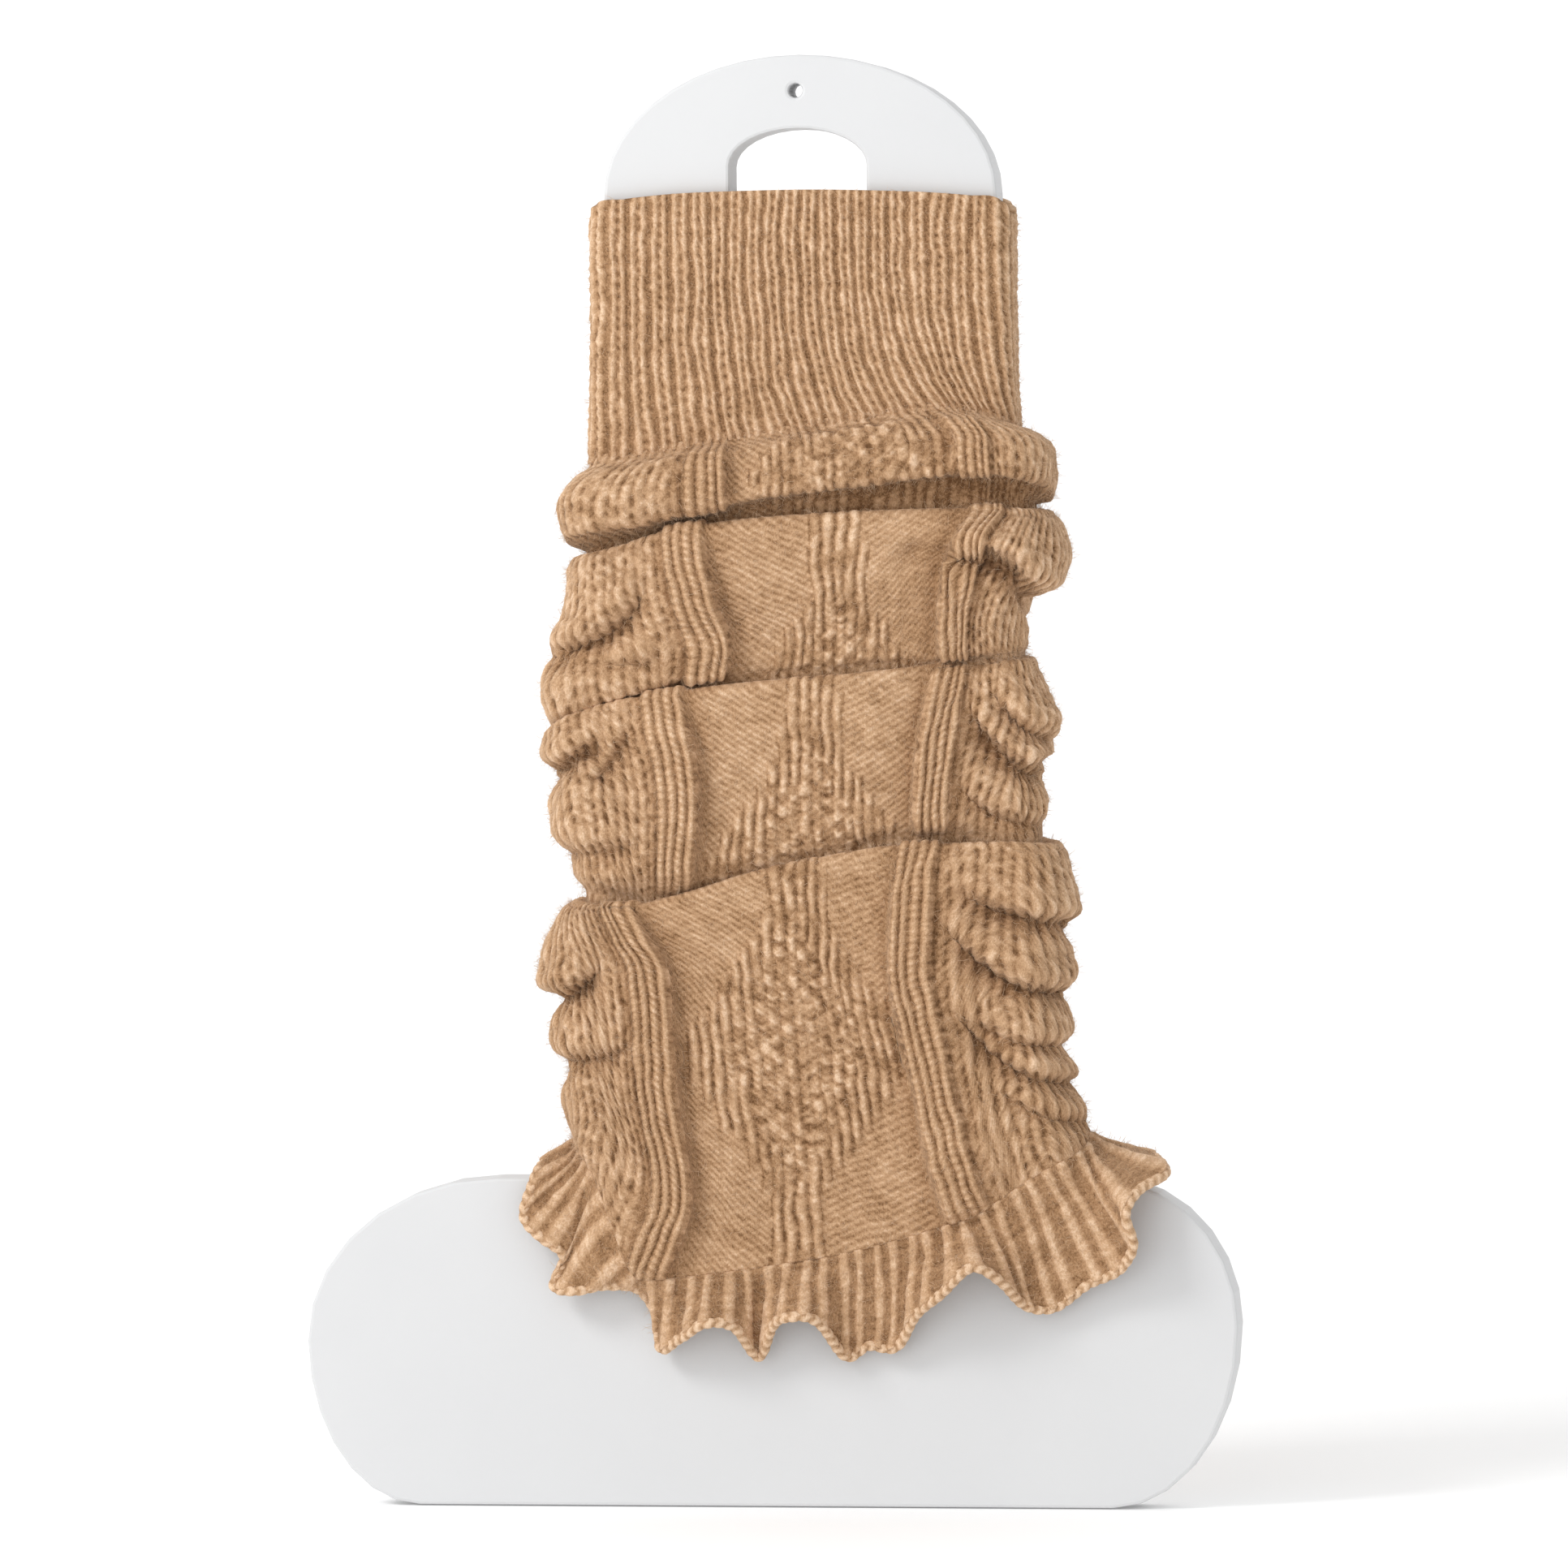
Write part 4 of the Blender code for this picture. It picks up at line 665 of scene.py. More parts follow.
        def add(panel: tuple[ProfileRow, ...], step: Array) -> None:
            """Add the plain rows of one panel.

            Args:
                panel: The rows.
                step: Distance that the panel stands off by.
            """
            for row in panel:
                at = LINE_AT[row.line]
                below = heights[min(at + 1, len(GUIDE_LINES) - 1)]
                z = heights[at] * (1 - row.share) + below * row.share - row.drop
                raised = row.sides if row.line == "cuff_end" else min(1.0, 2.0 * row.sides)
                out = row.step * step + across(u, row.out)
                rows.append((z, out, np.full(len(u), at + row.share), row.sides, raised))

        add(ROLL_ROWS, np.zeros(len(u)))
        for tuck, panel in TUCKS:
            crest, above = heights[LINE_AT[tuck.line]], LINE_AT[tuck.above]
            outs, drops, whole = self.tuck_path(tuck, u)
            lead_out, guide = tuck.lead_out + self.lead_step, above - self.lead_guide
            lead = crest + self.lead_above, np.full(len(u), lead_out), np.full(len(u), guide)
            rows.append((*lead, 0.0, 0.0))
            for index, (out, drop) in enumerate(zip(outs, drops)):
                raised = 0.0 if index <= len(self.valley_turns) + 1 else 0.5
                place = crest + drop, tuck.lead_out / 2 + out, above + out / whole
                rows.append((*place, 0.0, raised))
            add(panel, whole + tuck.lead_out / 2)
        return tuple(np.array(column) for column in zip(*rows))

    def tuck_turns(self) -> tuple[float, ...]:
        """Profile positions deep in each tuck, where the walls of the panels meet.

        Returns:
            One position for each tuck.
        """
        start, turns = len(ROLL_ROWS), []
        for _, rows in TUCKS:
            turns.append(float(start + 2))
            start += 1 + len(self.valley_turns) + len(self.crest_turns) + len(rows)
        return tuple(turns)

    def last_row(self) -> float:
        """Profile position of the leg's lower end."""
        return float(len(self.control_rows(np.array([CENTRE]))[0]) - 1)

    def clear_corner(self, reach: Array, depth: Array, largest: Array) -> Array:
        """Largest corner radius of the tube that keeps clear of the board's edge.

        Args:
            reach: How far the tube's end lies past the board's side.
            depth: Half depth of the tube.
            largest: Largest radius wanted.

        Returns:
            Radius.
        """
        margin = BOARD_EDGE + WALL / 2 + self.clearance
        a = np.maximum(reach + BOARD_EDGE - margin, 0.0)
        b = np.maximum(depth - BOARD_THICKNESS / 2 + BOARD_EDGE - margin, 0.0)
        return np.minimum(np.minimum(a + b + margin + np.sqrt(2 * a * b), largest), depth)

    def section(self, u: Array, places: Array, depth: Array, corner: Array) -> tuple[Array, ...]:
        """Points round a flattened tube.

        Args:
            u: Shares of the turn.
            places: X of left band, middle, right band, left end and right end, rows by columns
                each; the ends are those of the cloth's outer side.
            depth: Half depth of the tube.
            corner: Largest corner radius.

        Returns:
            X, Y and the two plan parts of the outward direction.
        """
        x_a, x_c, x_b, left, right = places
        left, right = left + WALL / 2, right - WALL / 2
        turn = np.broadcast_to(np.mod(u, 1.0), x_a.shape)
        r1 = self.clear_corner(LEG_LEFT - left, depth, corner)
        r2 = self.clear_corner(right - LEG_RIGHT, depth, corner)
        s1 = depth - r1
        s2 = s1 + np.pi * r1 / 2
        s3 = s2 + (right - left - r1 - r2)
        s4 = s3 + np.pi * r2 / 2
        total = s4 + depth - r2
        shift = s2 - left - r1
        knots = (0.0, BAND_LEFT, CENTRE, BAND_RIGHT, HALF_TURN)
        stops = (np.zeros_like(total), shift + x_a, shift + x_c, shift + x_b, total)
        s = total * (1 - turn) * 2
        for k in range(4):
            inside = (turn >= knots[k]) & (turn <= knots[k + 1])
            share = (turn - knots[k]) / (knots[k + 1] - knots[k])
            s = np.where(inside, stops[k] + (stops[k + 1] - stops[k]) * share, s)
        bend_1, bend_2 = (s - s1) / r1, (s - s3) / r2
        cases = [s < s1, s < s2, s < s3, s < s4]
        turn_left = left + r1 * (1 - np.cos(bend_1))
        turn_right = right - r2 + r2 * np.sin(bend_2)
        x = np.select(cases, [left, turn_left, left + r1 + s - s2, turn_right], right)
        y_turns = s1 + r1 * np.sin(bend_1), depth - r2 + r2 * np.cos(bend_2)
        y = np.select(cases, [s, y_turns[0], depth, y_turns[1]], total - s)
        nx = np.select(cases, [-1.0, -np.cos(bend_1), 0.0, np.sin(bend_2)], 1.0)
        ny = np.select(cases, [0.0, np.sin(bend_1), 1.0, np.cos(bend_2)], 0.0)
        sign = np.where(turn <= HALF_TURN, -1.0, 1.0)
        return x, y * sign, nx, ny * sign

    def crease_depth(self, x: Array, z: Array, face: Array) -> Array:
        """How far the creases pull the cloth in.

        Args:
            x: X of the points.
            z: Heights.
            face: Sign of the face of each point.

        Returns:
            Depth in millimetres, below 0 on a crease's upper lip.
        """
        total, lips = np.zeros_like(x), np.zeros_like(x)
        for crease in CREASES:
            dx, dz = crease.end[0] - crease.start[0], crease.end[1] - crease.start[1]
            length = math.hypot(dx, dz)
            px, pz = x - crease.start[0], z - crease.start[1]
            along, off = (px * dx + pz * dz) / length**2, (pz * dx - px * dz) / length
            lean = 1.0 if dx > 0 else -1.0
            bow = crease.bow * lean * np.sin(np.pi * np.clip(along, 0.0, 1.0))
            outer = 1.0 if dx > 0 or crease.depth > self.deep_crease else self.crease_start
            fade = smooth(-0.18, 0.08, along) * (1 - smooth(0.66, 1.08, along))
            fade = fade * (outer + (1 - outer) * smooth(0.0, 0.35, along))
            at_side = abs(crease.start[0] - TUBE_CENTRE) > self.side_reach
            wrapped = (1 - smooth(0.0, 0.30, along)) * at_side
            fade = fade * np.where(face == crease.face.value, 1.0, wrapped) * crease.depth
            below = (bow - off) * lean / crease.half
            width = np.where(below < 0, self.crease_above, self.crease_below)
            lip = bell(below - self.crease_lip_place, self.crease_lip_width)
            total = np.maximum(total, fade * self.crease_gain * bell(below, width))
            lips = np.maximum(lips, fade * self.crease_lip * lip)
        return total - lips * np.clip(1 - total / 2.0, 0.0, 1.0)

    def leg(self, q: Array, u: Array) -> tuple[Array, Array]:
        """Middle surface of the leg.

        Args:
            q: Profile positions.
            u: Shares of the turn.

        Returns:
            Points, rows by columns by 3, and how much relief each point takes.
        """
        z_rows, out_rows, guide_rows, side_rows, raise_rows = self.control_rows(u)
        step = np.hypot(np.diff(z_rows, axis=0), np.diff(out_rows, axis=0))
        knots = np.vstack([np.zeros((1, len(u))), np.cumsum(np.sqrt(step), axis=0)])
        k = np.clip(np.floor(q).astype(int), 0, len(z_rows) - 2)
        t = q - k
        z, out = row_curve(knots, z_rows, k, t), row_curve(knots, out_rows, k, t)
        guide = guide_rows[k] * (1 - t[:, None]) + guide_rows[k + 1] * t[:, None]
        sides = (side_rows[k] * (1 - t) + side_rows[k + 1] * t)[:, None]
        raised = (raise_rows[k] * (1 - t) + raise_rows[k + 1] * t)[:, None]

        places = pchip(np.arange(len(GUIDE_LINES)), self.columns, guide)
        centre_out = out[:, np.argmin(np.abs(front_share(u) - CENTRE))][:, None]
        depth = SNUG_DEPTH + np.broadcast_to(centre_out, out.shape)
        wide = (self.leg_corner - self.cuff_corner) / self.corner_growth
        corner = np.clip(self.cuff_corner + wide * out, self.cuff_corner, self.leg_corner)
        corner = np.broadcast_to(corner.mean(axis=1)[:, None], out.shape)
        x, y, nx, ny = self.section(u, places, depth, corner)

        pulled = self.crease_depth(x, z, face_sign(u)[None, :]) * sides
        y = y + (out - centre_out + self.side_step * self.side_share(u) * sides) * ny
        past_x = np.maximum(LEG_LEFT + BOARD_EDGE - x, x - LEG_RIGHT + BOARD_EDGE)
        past_y = np.maximum(np.abs(y) - BOARD_THICKNESS / 2 + BOARD_EDGE, 0.0)
        room = np.hypot(np.maximum(past_x, 0.0), past_y) - BOARD_EDGE - WALL / 2 - self.clearance
        pulled = np.minimum(pulled, room)
        points = np.stack([x - pulled * nx, y - pulled * ny, z], axis=-1)
        return points, np.broadcast_to(raised, out.shape)

    def cuff(self, t: Array, u: Array) -> Array:
        """Middle surface of the cuff.

        Args:
            t: Shares of its height, from the top.
            u: Shares of the turn.

        Returns:
            Points, rows by columns by 3.
        """
        heights, t = self.line_heights(u), t[:, None]
        top, end = LINE_AT["cuff_top"], LINE_AT["cuff_end"]
        z = np.maximum(heights[top], self.top_side) * (1 - t) + heights[end] * t
        bend = np.clip(t, 0.0, 1.0) ** self.cuff_bend
        ends = zip(self.columns[:, top], self.columns[:, end])
        places = np.array([np.broadcast_to(a * (1 - bend) + b * bend, z.shape) for a, b in ends])
        depth, corner = np.full(z.shape, SNUG_DEPTH), np.full(z.shape, self.cuff_corner)
        x, y, _, _ = self.section(u, places, depth, corner)
        inward = np.minimum(x - places[3], places[4] - x) - WALL / 2
        past = np.clip(self.top_corner - inward, 0.0, self.top_corner)
        fall = self.top_corner - np.sqrt(self.top_corner**2 - past**2)
        return np.stack([x, y, z - fall * np.clip(1 - t, 0.0, 1.0)], axis=-1)


@dataclass
class HemForm:
    """Middle surface of the gathered hem."""

    tube: TubeForm
    ribs: int = 72
    seam_gap: float = -0.3
    seam_back: float = 0.05
    seam_side: float = 0.004
    start_pull: float = 0.75
    end_pull: float = 1.0
    spread_ribs: tuple[float, ...] = (0.0, 9.0, 27.0, 36.0, 72.0)
    spread_turns: tuple[float, ...] = (0.0, 0.134, 0.366, 0.5, 1.0)
    waves: int = 6
    points_per_wave: int = 4
    right: float = 119.9
    left: float = -69.1
    top: float = 106.6
    mean_z: float = 62.0
    swing: float = 6.0
    depth: float = 22.6
    wave_depth: float = 7.7
    fall: float = 2.0
    widen: float = 7.0

    def edge_curve(self, ribs: Array) -> Array:
        """Smooth closed curve along the hem's edge: the front table, then waves of the back.

        Args:
            ribs: Places round the hem, in ribs.

        Returns:
            Points of the edge.
        """
        rows = [(p.rib, p.x, -p.depth, p.z) for p in HEM_FRONT]
        count = self.waves * self.points_per_wave
        for t in np.arange(count + 1) / count:
            beat, rise = math.cos(TAU * self.waves * t), math.sin(math.pi * t)
            fall = min(1.0, rise * self.fall) ** 2
            z = self.top + (self.mean_z - self.top + self.swing * beat) * fall
            depth = (self.depth + self.wave_depth * beat) * min(1.0, rise * self.widen)
            x = self.right + (self.left - self.right) * t
            rows.append((self.ribs / 2 * (1 + t), x, depth, z))
        table, turn = np.array(rows), np.array([self.ribs, 0.0, 0.0, 0.0])
        table = np.vstack([table[-4:-1] - turn, table, table[1:4] + turn])
        at, x = np.mod(ribs, self.ribs), table[:, 0]
        k = np.clip(np.searchsorted(x, at, side="right") - 1, 0, len(x) - 2)
        return row_curve(x[:, None], table[:, 1:], k, (at - x[k]) / (x[k + 1] - x[k]))

    def surface(self, t: Array, ribs: Array) -> Array:
        """Points of the hem.

        Args:
            t: Shares of its drop.
            ribs: Places round the hem, in ribs.

        Returns:
            Points, rows by columns by 3.
        """
        turn = np.interp(np.mod(ribs, self.ribs), self.spread_ribs, self.spread_turns)
        last = self.tube.last_row()
        rows = np.array([last - self.seam_back, last])
        near, seam = self.tube.leg(rows, turn)[0]
        past = self.tube.leg(rows[1:], turn + self.seam_side)[0][0]
        before = self.tube.leg(rows[1:], turn - self.seam_side)[0][0]
        along, down = unit(past - before), seam - near
        down = unit(down - along * np.sum(down * along, axis=-1, keepdims=True))
        start, end = seam + down * self.seam_gap, self.edge_curve(ribs)
        length = np.linalg.norm(end - start, axis=-1, keepdims=True)
        leave, arrive = down * length * self.start_pull, (end - start) * self.end_pull
        return cubic(t[:, None, None], start, leave, end, arrive)


# ------------------------------------------------------------------ meshes
def make_mesh(name: str, verts: Array, faces: list, uv: Array | None, tone: Array) -> Thing:
    """Mesh object that carries the knit's UV map and its tone.

    Args:
        name: Name of the object and its mesh.
        verts: Points in millimetres.
        faces: Point numbers of each face.
        uv: Wale and course numbers of the first face corners, with 0 for the rest, or None for
            Blender's own.
        tone: Lightness at each point, mostly painted shade and highlight of the stitches and folds, with
            some random unevenness.

    Returns:
        The object, linked to the scene.
    """
    mesh = bpy.data.meshes.new(name)
    mesh.from_pydata(verts * MM, [], faces)
    layer = mesh.uv_layers.new(name=UV_MAP)
    if uv is not None:
        flat = np.zeros((len(mesh.loops), 2), np.float32)
        flat[: len(uv)] = uv
        layer.data.foreach_set("uv", flat.ravel())
        mesh.shade_smooth()
    mesh.attributes.new(TONE, "FLOAT", "POINT").data.foreach_set("value", tone.astype(np.float32))
    thing = bpy.data.objects.new(name, mesh)
    bpy.context.scene.collection.objects.link(thing)
    return thing


def dress(thing: Thing, material: bpy.types.Material, node: Node | None) -> None:
    """Give a piece of knit its finish and tie it to the frame.

    Args:
        thing: The piece.
        material: Its finish.
        node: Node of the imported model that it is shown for, if any.
    """
    thing.data.materials.append(material)
    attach(thing, "root")
    if node is not None:
        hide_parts(node.value)
    LOG.info("%s: %d faces", thing.name, len(thing.data.polygons))


def ring_quads(rows: int, cols: int, closed: bool = False) -> Array:
    """Quads of a grid of points that is closed round its columns.

    Args:
        rows: Rows of points.
        cols: Points round.
        closed: Whether the last row joins the first too.

    Returns:
        Point numbers by row, column and corner.
    """
    i, j = np.meshgrid(np.arange(rows if closed else rows - 1), np.arange(cols), indexing="ij")
    down, on = (i + 1) % rows, (j + 1) % cols
    return np.stack([i * cols + j, down * cols + j, down * cols + on, i * cols + on], -1)


@dataclass
class Wall:
    """Closed wall of cloth: a fine outer grid with relief and a plain coarser inner grid."""

    name: str
    middle: Array
    relief: Array
    tone: Array
    wale: Array
    course: Array
    thickness: float = WALL
    inner_step: int = 4
    inner_tone: float = 0.35

    def outer(self) -> Array:
        """Points of the outer side."""
        off = self.thickness / 2 + self.relief
        return self.middle + grid_normals(self.middle) * off[..., None]

    def build(self) -> Thing:
        """Mesh of the wall, with wale and course numbers as its UV map.

        Returns:
            The mesh object.
        """
        rows, cols = self.middle.shape[:2]
        step, base = self.inner_step, rows * cols
        kept = sorted(set(range(0, rows, step)) | {rows - 1})
        inner = (self.middle - grid_normals(self.middle) * self.thickness / 2)[kept][:, ::step]
        cols_i = inner.shape[1]
        width = 2 * self.wale[:, -1:] - self.wale[:, -2:-1]
        course = np.hstack([self.course, self.course[:, :1]])
        uv = np.stack([np.hstack([self.wale, width]), course], -1)
        corners = [uv[:-1, :-1], uv[1:, :-1], uv[1:, 1:], uv[:-1, 1:]]
        faces = ring_quads(rows, cols).reshape(-1, 4).tolist()
        back = ring_quads(len(kept), cols_i)[..., [3, 2, 1, 0]] + base
        faces += back.reshape(-1, 4).tolist()
        for row_o, row_i in ((0, 0), (rows - 1, len(kept) - 1)):
            for c in range(cols_i):
                first, last = c * step, (c + 1) * step
                mid = (first + last) // 2
                left, right = (base + row_i * cols_i + k % cols_i for k in (c, c + 1))
                fan = [
                    (row_o * cols + p, row_o * cols + (p + 1) % cols, left if p < mid else right)
                    for p in range(first, last)
                ]
                fan.append((row_o * cols + mid % cols, right, left))
                faces += [(a, d, b) if row_o else (a, b, d) for a, b, d in fan]
        points = np.vstack([self.outer().reshape(-1, 3), inner.reshape(-1, 3)])
        tone = np.concatenate([self.tone.ravel(), np.full(len(points) - base, self.inner_tone)])
        return make_mesh(self.name, points, faces, np.stack(corners, 2).reshape(-1, 2), tone)


@dataclass(frozen=True)
class Yarn:
    """A round yarn that follows a closed path, as a mesh with its own loops of relief."""

    name: str
    radius: float
    sides: int = 12
    loop_length: float = 3.4
    loop_relief: float = 0.27
    lean: float = 0.35
    groove: float = 0.12

    def build(self, path: Array, up: Array) -> Thing:
        """Tube round a closed path.

        Args:
            path: Points of the path.
            up: Direction of the chain's face at each point.

        Returns:
            The mesh object.
        """
        ahead = unit(np.roll(path, -1, axis=0) - np.roll(path, 1, axis=0))
        up = unit(up - ahead * np.sum(up * ahead, axis=1, keepdims=True))
        side = np.cross(ahead, up)
        steps = np.linalg.norm(np.roll(path, -1, axis=0) - path, axis=1)
        loops = max(1, round(steps.sum() / self.loop_length))
        places = np.concatenate([[0.0], np.cumsum(steps)[:-1]]) / steps.sum() * loops
        theta, along = np.meshgrid(np.arange(self.sides) / self.sides * TAU, places)
        sin, cos = np.sin(theta), np.cos(theta)
        bead = np.abs(np.sin(np.pi * (along + self.lean * np.abs(cos))))
        groove = np.exp(-((sin - 1.0) ** 2) / 0.10) * (np.abs(cos) < 0.25)
        relief = 1 - self.loop_relief + self.loop_relief * bead**0.6 - self.groove * groove
        ring = cos[..., None] * side[:, None] + sin[..., None] * up[:, None]
        verts = (path[:, None] + ring * (self.radius * relief)[..., None]).reshape(-1, 3)
        quads = ring_quads(len(path), self.sides, closed=True)[..., [0, 3, 2, 1]].reshape(-1, 4)
        uv = np.stack([along, theta / TAU], -1).reshape(-1, 2)[quads.ravel()]
        # Painted shade between the beads of the bound-off edge: the tone follows the bead relief.
        return make_mesh(self.name, verts, quads.tolist(), uv, 0.35 + 0.65 * bead.ravel())


# ------------------------------------------------------------------ finishes
class Graph:
    """Short helper for a material's nodes."""

    def __init__(self, name: str) -> None:
        """Start a material with a plain Principled shader.

        Args:
            name: Name of the material.
        """
        self.material = bpy.data.materials.new(name)
        self.material.use_nodes = True
        self.tree = self.material.node_tree
        self.shader = self.tree.nodes["Principled BSDF"]
        self.place = self.node("ShaderNodeTexCoord", {}).outputs["Object"]

    def fill(self, node: bpy.types.Node, inputs: Inputs) -> None:
        """Link sockets to a node's inputs, or set their values.

        Args:
            node: The node.
            inputs: Sockets or values, by the input's name or number.
        """
        for name, value in inputs.items():
            if isinstance(value, Socket):
                self.tree.links.new(value, node.inputs[name])
            else:
                node.inputs[name].default_value = value

    def node(self, kind: str, inputs: Inputs, **settings: object) -> bpy.types.Node:
        """Add a node.

        Args:
            kind: Its type.
            inputs: Sockets or values for its inputs.
            **settings: Its properties.

        Returns:
            The node.
        """
        made = self.tree.nodes.new(kind)
        for key, value in settings.items():
            setattr(made, key, value)
        self.fill(made, inputs)
        return made

    def math(self, operation: str, first: object, second: object = 0.0) -> Socket:
        """Math node on two sockets or numbers."""
        return self.node("ShaderNodeMath", {0: first, 1: second}, operation=operation).outputs[0]

    def blend(self, start: Socket, parts: tuple[tuple[Socket, float, float], ...]) -> Socket:
        """Sum of a start value and of parts.

        Args:
            start: The start value.
            parts: Each part with the middle that is taken off it and its weight.

        Returns:
            The sum.
        """
        for part, middle, weight in parts:
            share = self.math("MULTIPLY", self.math("SUBTRACT", part, middle), weight)
            start = self.math("ADD", start, share)
        return start

    def noise(self, vector: Socket, scale: float, detail: float, rough: float) -> Socket:
        """Noise from 0 to 1 at a vector."""
        inputs = {"Vector": vector, "Scale": scale, "Detail": detail, "Roughness": rough}
        return self.node("ShaderNodeTexNoise", inputs).outputs["Fac"]

    def ramp(self, factor: Socket, stops: tuple[tuple[float, Colour], ...]) -> Socket:
        """Colour ramp.

        Args:
            factor: Place on the ramp.
            stops: Place and colour of each stop.

        Returns:
            Colour.
        """
        made = self.node("ShaderNodeValToRGB", {"Fac": factor})
        elements = made.color_ramp.elements
        while len(elements) < len(stops):
            elements.new(0.5)
        for element, (place, colour) in zip(elements, stops):
            element.position, element.color = place, (*colour, 1.0)
        return made.outputs["Color"]

    def bump(self, height: Socket, distance: float, strength: float) -> None:
        """Bump the shader's normal by a height."""
        inputs = {"Height": height, "Distance": distance, "Strength": strength}
        self.fill(self.shader, {"Normal": self.node("ShaderNodeBump", inputs).outputs["Normal"]})


@dataclass(frozen=True)
class WoolFinish:
    """Soft camel wool yarn."""

    name: str
    # Lightness steps of the one camel yarn, chosen by the tone attribute: deep and shade are painted
    # shade, body is the yarn's own colour and lit is a painted highlight.
    deep: Colour = (0.150, 0.069, 0.025)
    shade: Colour = (0.388, 0.220, 0.110)
    body: Colour = (0.590, 0.370, 0.214)
    lit: Colour = (0.860, 0.625, 0.430)
    places: tuple[float, float, float, float] = (0.05, 0.36, 0.66, 1.0)
    roughness: float = 0.85
    sheen: float = 0.25
    sheen_tint: Colour = (0.95, 0.78, 0.60)
    lean: float = 1.15

    def stitch(self, g: Graph, uv: Socket) -> Socket:
        """Soft V-shaped stitches.

        Args:
            g: Nodes of the material.
            uv: Wale and course numbers.

        Returns:
            Height from 0 to 1.
        """
        parts = g.node("ShaderNodeSeparateXYZ", {0: uv}).outputs
        side = g.math("ABSOLUTE", g.math("SUBTRACT", g.math("FRACT", parts["X"]), 0.5))
        phase = g.math("ADD", parts["Y"], g.math("MULTIPLY", side, self.lean))
        beat = g.math("COSINE", g.math("MULTIPLY", g.math("SUBTRACT", phase, 0.5), TAU))
        return g.math("ADD", g.math("MULTIPLY", beat, 0.5), 0.5)

    def make(self) -> bpy.types.Material:
        """Material with stitches, fibres, plies, uneven dye and painted shade and highlight.

        Returns:
            The material.
        """
        g = Graph(self.name)
        uv = g.node("ShaderNodeUVMap", {}, uv_map=UV_MAP).outputs["UV"]
        tone = g.node("ShaderNodeAttribute", {}, attribute_name=TONE).outputs["Fac"]
        stitch = self.stitch(g, uv)
        patches, strands = g.noise(g.place, 38.0, 3.0, 0.6), g.noise(g.place, 1700.0, 3.0, 0.7)
        drawn = g.node("ShaderNodeMapping", {"Vector": uv, "Scale": (7.0, 2.2, 1.0)})
        fibres = g.noise(drawn.outputs["Vector"], 1.6, 4.0, 0.7)
        # Painted shade and highlight: the tone attribute, and a little of the stitch height, move the
        # colour between the ramp's dark and light steps; patches, fibres and strands are random
        # unevenness.
        lift = g.math("ADD", g.math("MULTIPLY", tone, 0.80), 0.10)
        parts = (stitch, 0.10), (patches, 0.18), (fibres, 0.75), (strands, 0.80)
        weights = tuple((part, 0.5, weight) for part, weight in parts)
        colours = self.deep, self.shade, self.body, self.lit
        looks = {
            "Base Color": g.ramp(g.blend(lift, weights), tuple(zip(self.places, colours))),
            "Roughness": self.roughness,
            "Sheen Weight": self.sheen,
            "Sheen Roughness": 0.5,
            "Sheen Tint": (*self.sheen_tint, 1.0),
            "Specular IOR Level": 0.2,
        }
        g.fill(g.shader, looks)
        height = g.math("MULTIPLY", fibres, 0.35)
        g.bump(g.blend(height, ((strands, 0.0, 0.35), (stitch, 0.0, 0.12))), 0.0008, 0.8)
        return g.material


@dataclass(frozen=True)
class BoardFinish:
    """Smooth matt foam plastic, a little uneven."""

    name: str
    colour: Colour = (0.672, 0.676, 0.681)
    shade: Colour = (0.642, 0.646, 0.654)
    roughness: float = 0.55

    def make(self) -> bpy.types.Material:
        """Material with faint clouds and a fine skin.

        Returns:
            The material.
        """
        g = Graph(self.name)
        clouds = g.noise(g.place, 9.0, 3.0, 0.55)
        colour = g.ramp(clouds, ((0.3, self.shade), (0.62, self.colour)))
        looks = {"Base Color": colour, "Roughness": self.roughness, "Specular IOR Level": 0.35}
        g.fill(g.shader, looks)
        g.bump(g.noise(g.place, 900.0, 3.0, 0.6), 0.0001, 0.35)
        return g.material


@dataclass(frozen=True)
class FloorFinish:
    """Plain pale studio paper."""

    name: str
    colour: Colour = (0.96, 0.96, 0.96)
    glow: float = 0.10

    def make(self) -> bpy.types.Material:
        """Matt material, clear from behind so that the far side of the object can be seen too.

        Returns:
            The material.
        """
        g = Graph(self.name)
        looks = {
            "Base Color": (*self.colour, 1.0),
            "Roughness": 0.9,
            "Specular IOR Level": 0.1,
            "Emission Color": (1.0, 1.0, 1.0, 1.0),
            "Emission Strength": self.glow,
        }
        g.fill(g.shader, looks)
        behind = g.node("ShaderNodeNewGeometry", {}).outputs["Backfacing"]
        clear = g.node("ShaderNodeBsdfTransparent", {}).outputs[0]
        blend = g.node("ShaderNodeMixShader", {0: behind, 1: g.shader.outputs[0], 2: clear})
        g.fill(g.tree.nodes["Material Output"], {"Surface": blend.outputs[0]})
        return g.material


# ------------------------------------------------------------------ pieces
@dataclass
class Board:
    """Flat display board, shown by its solid."""

    finish: BoardFinish = BoardFinish("white_foam_board")

    def build(self) -> None:
        """Dress the board's node."""
        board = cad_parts[Node.BOARD.value]
        board.data.materials.clear()
        board.data.materials.append(self.finish.make())


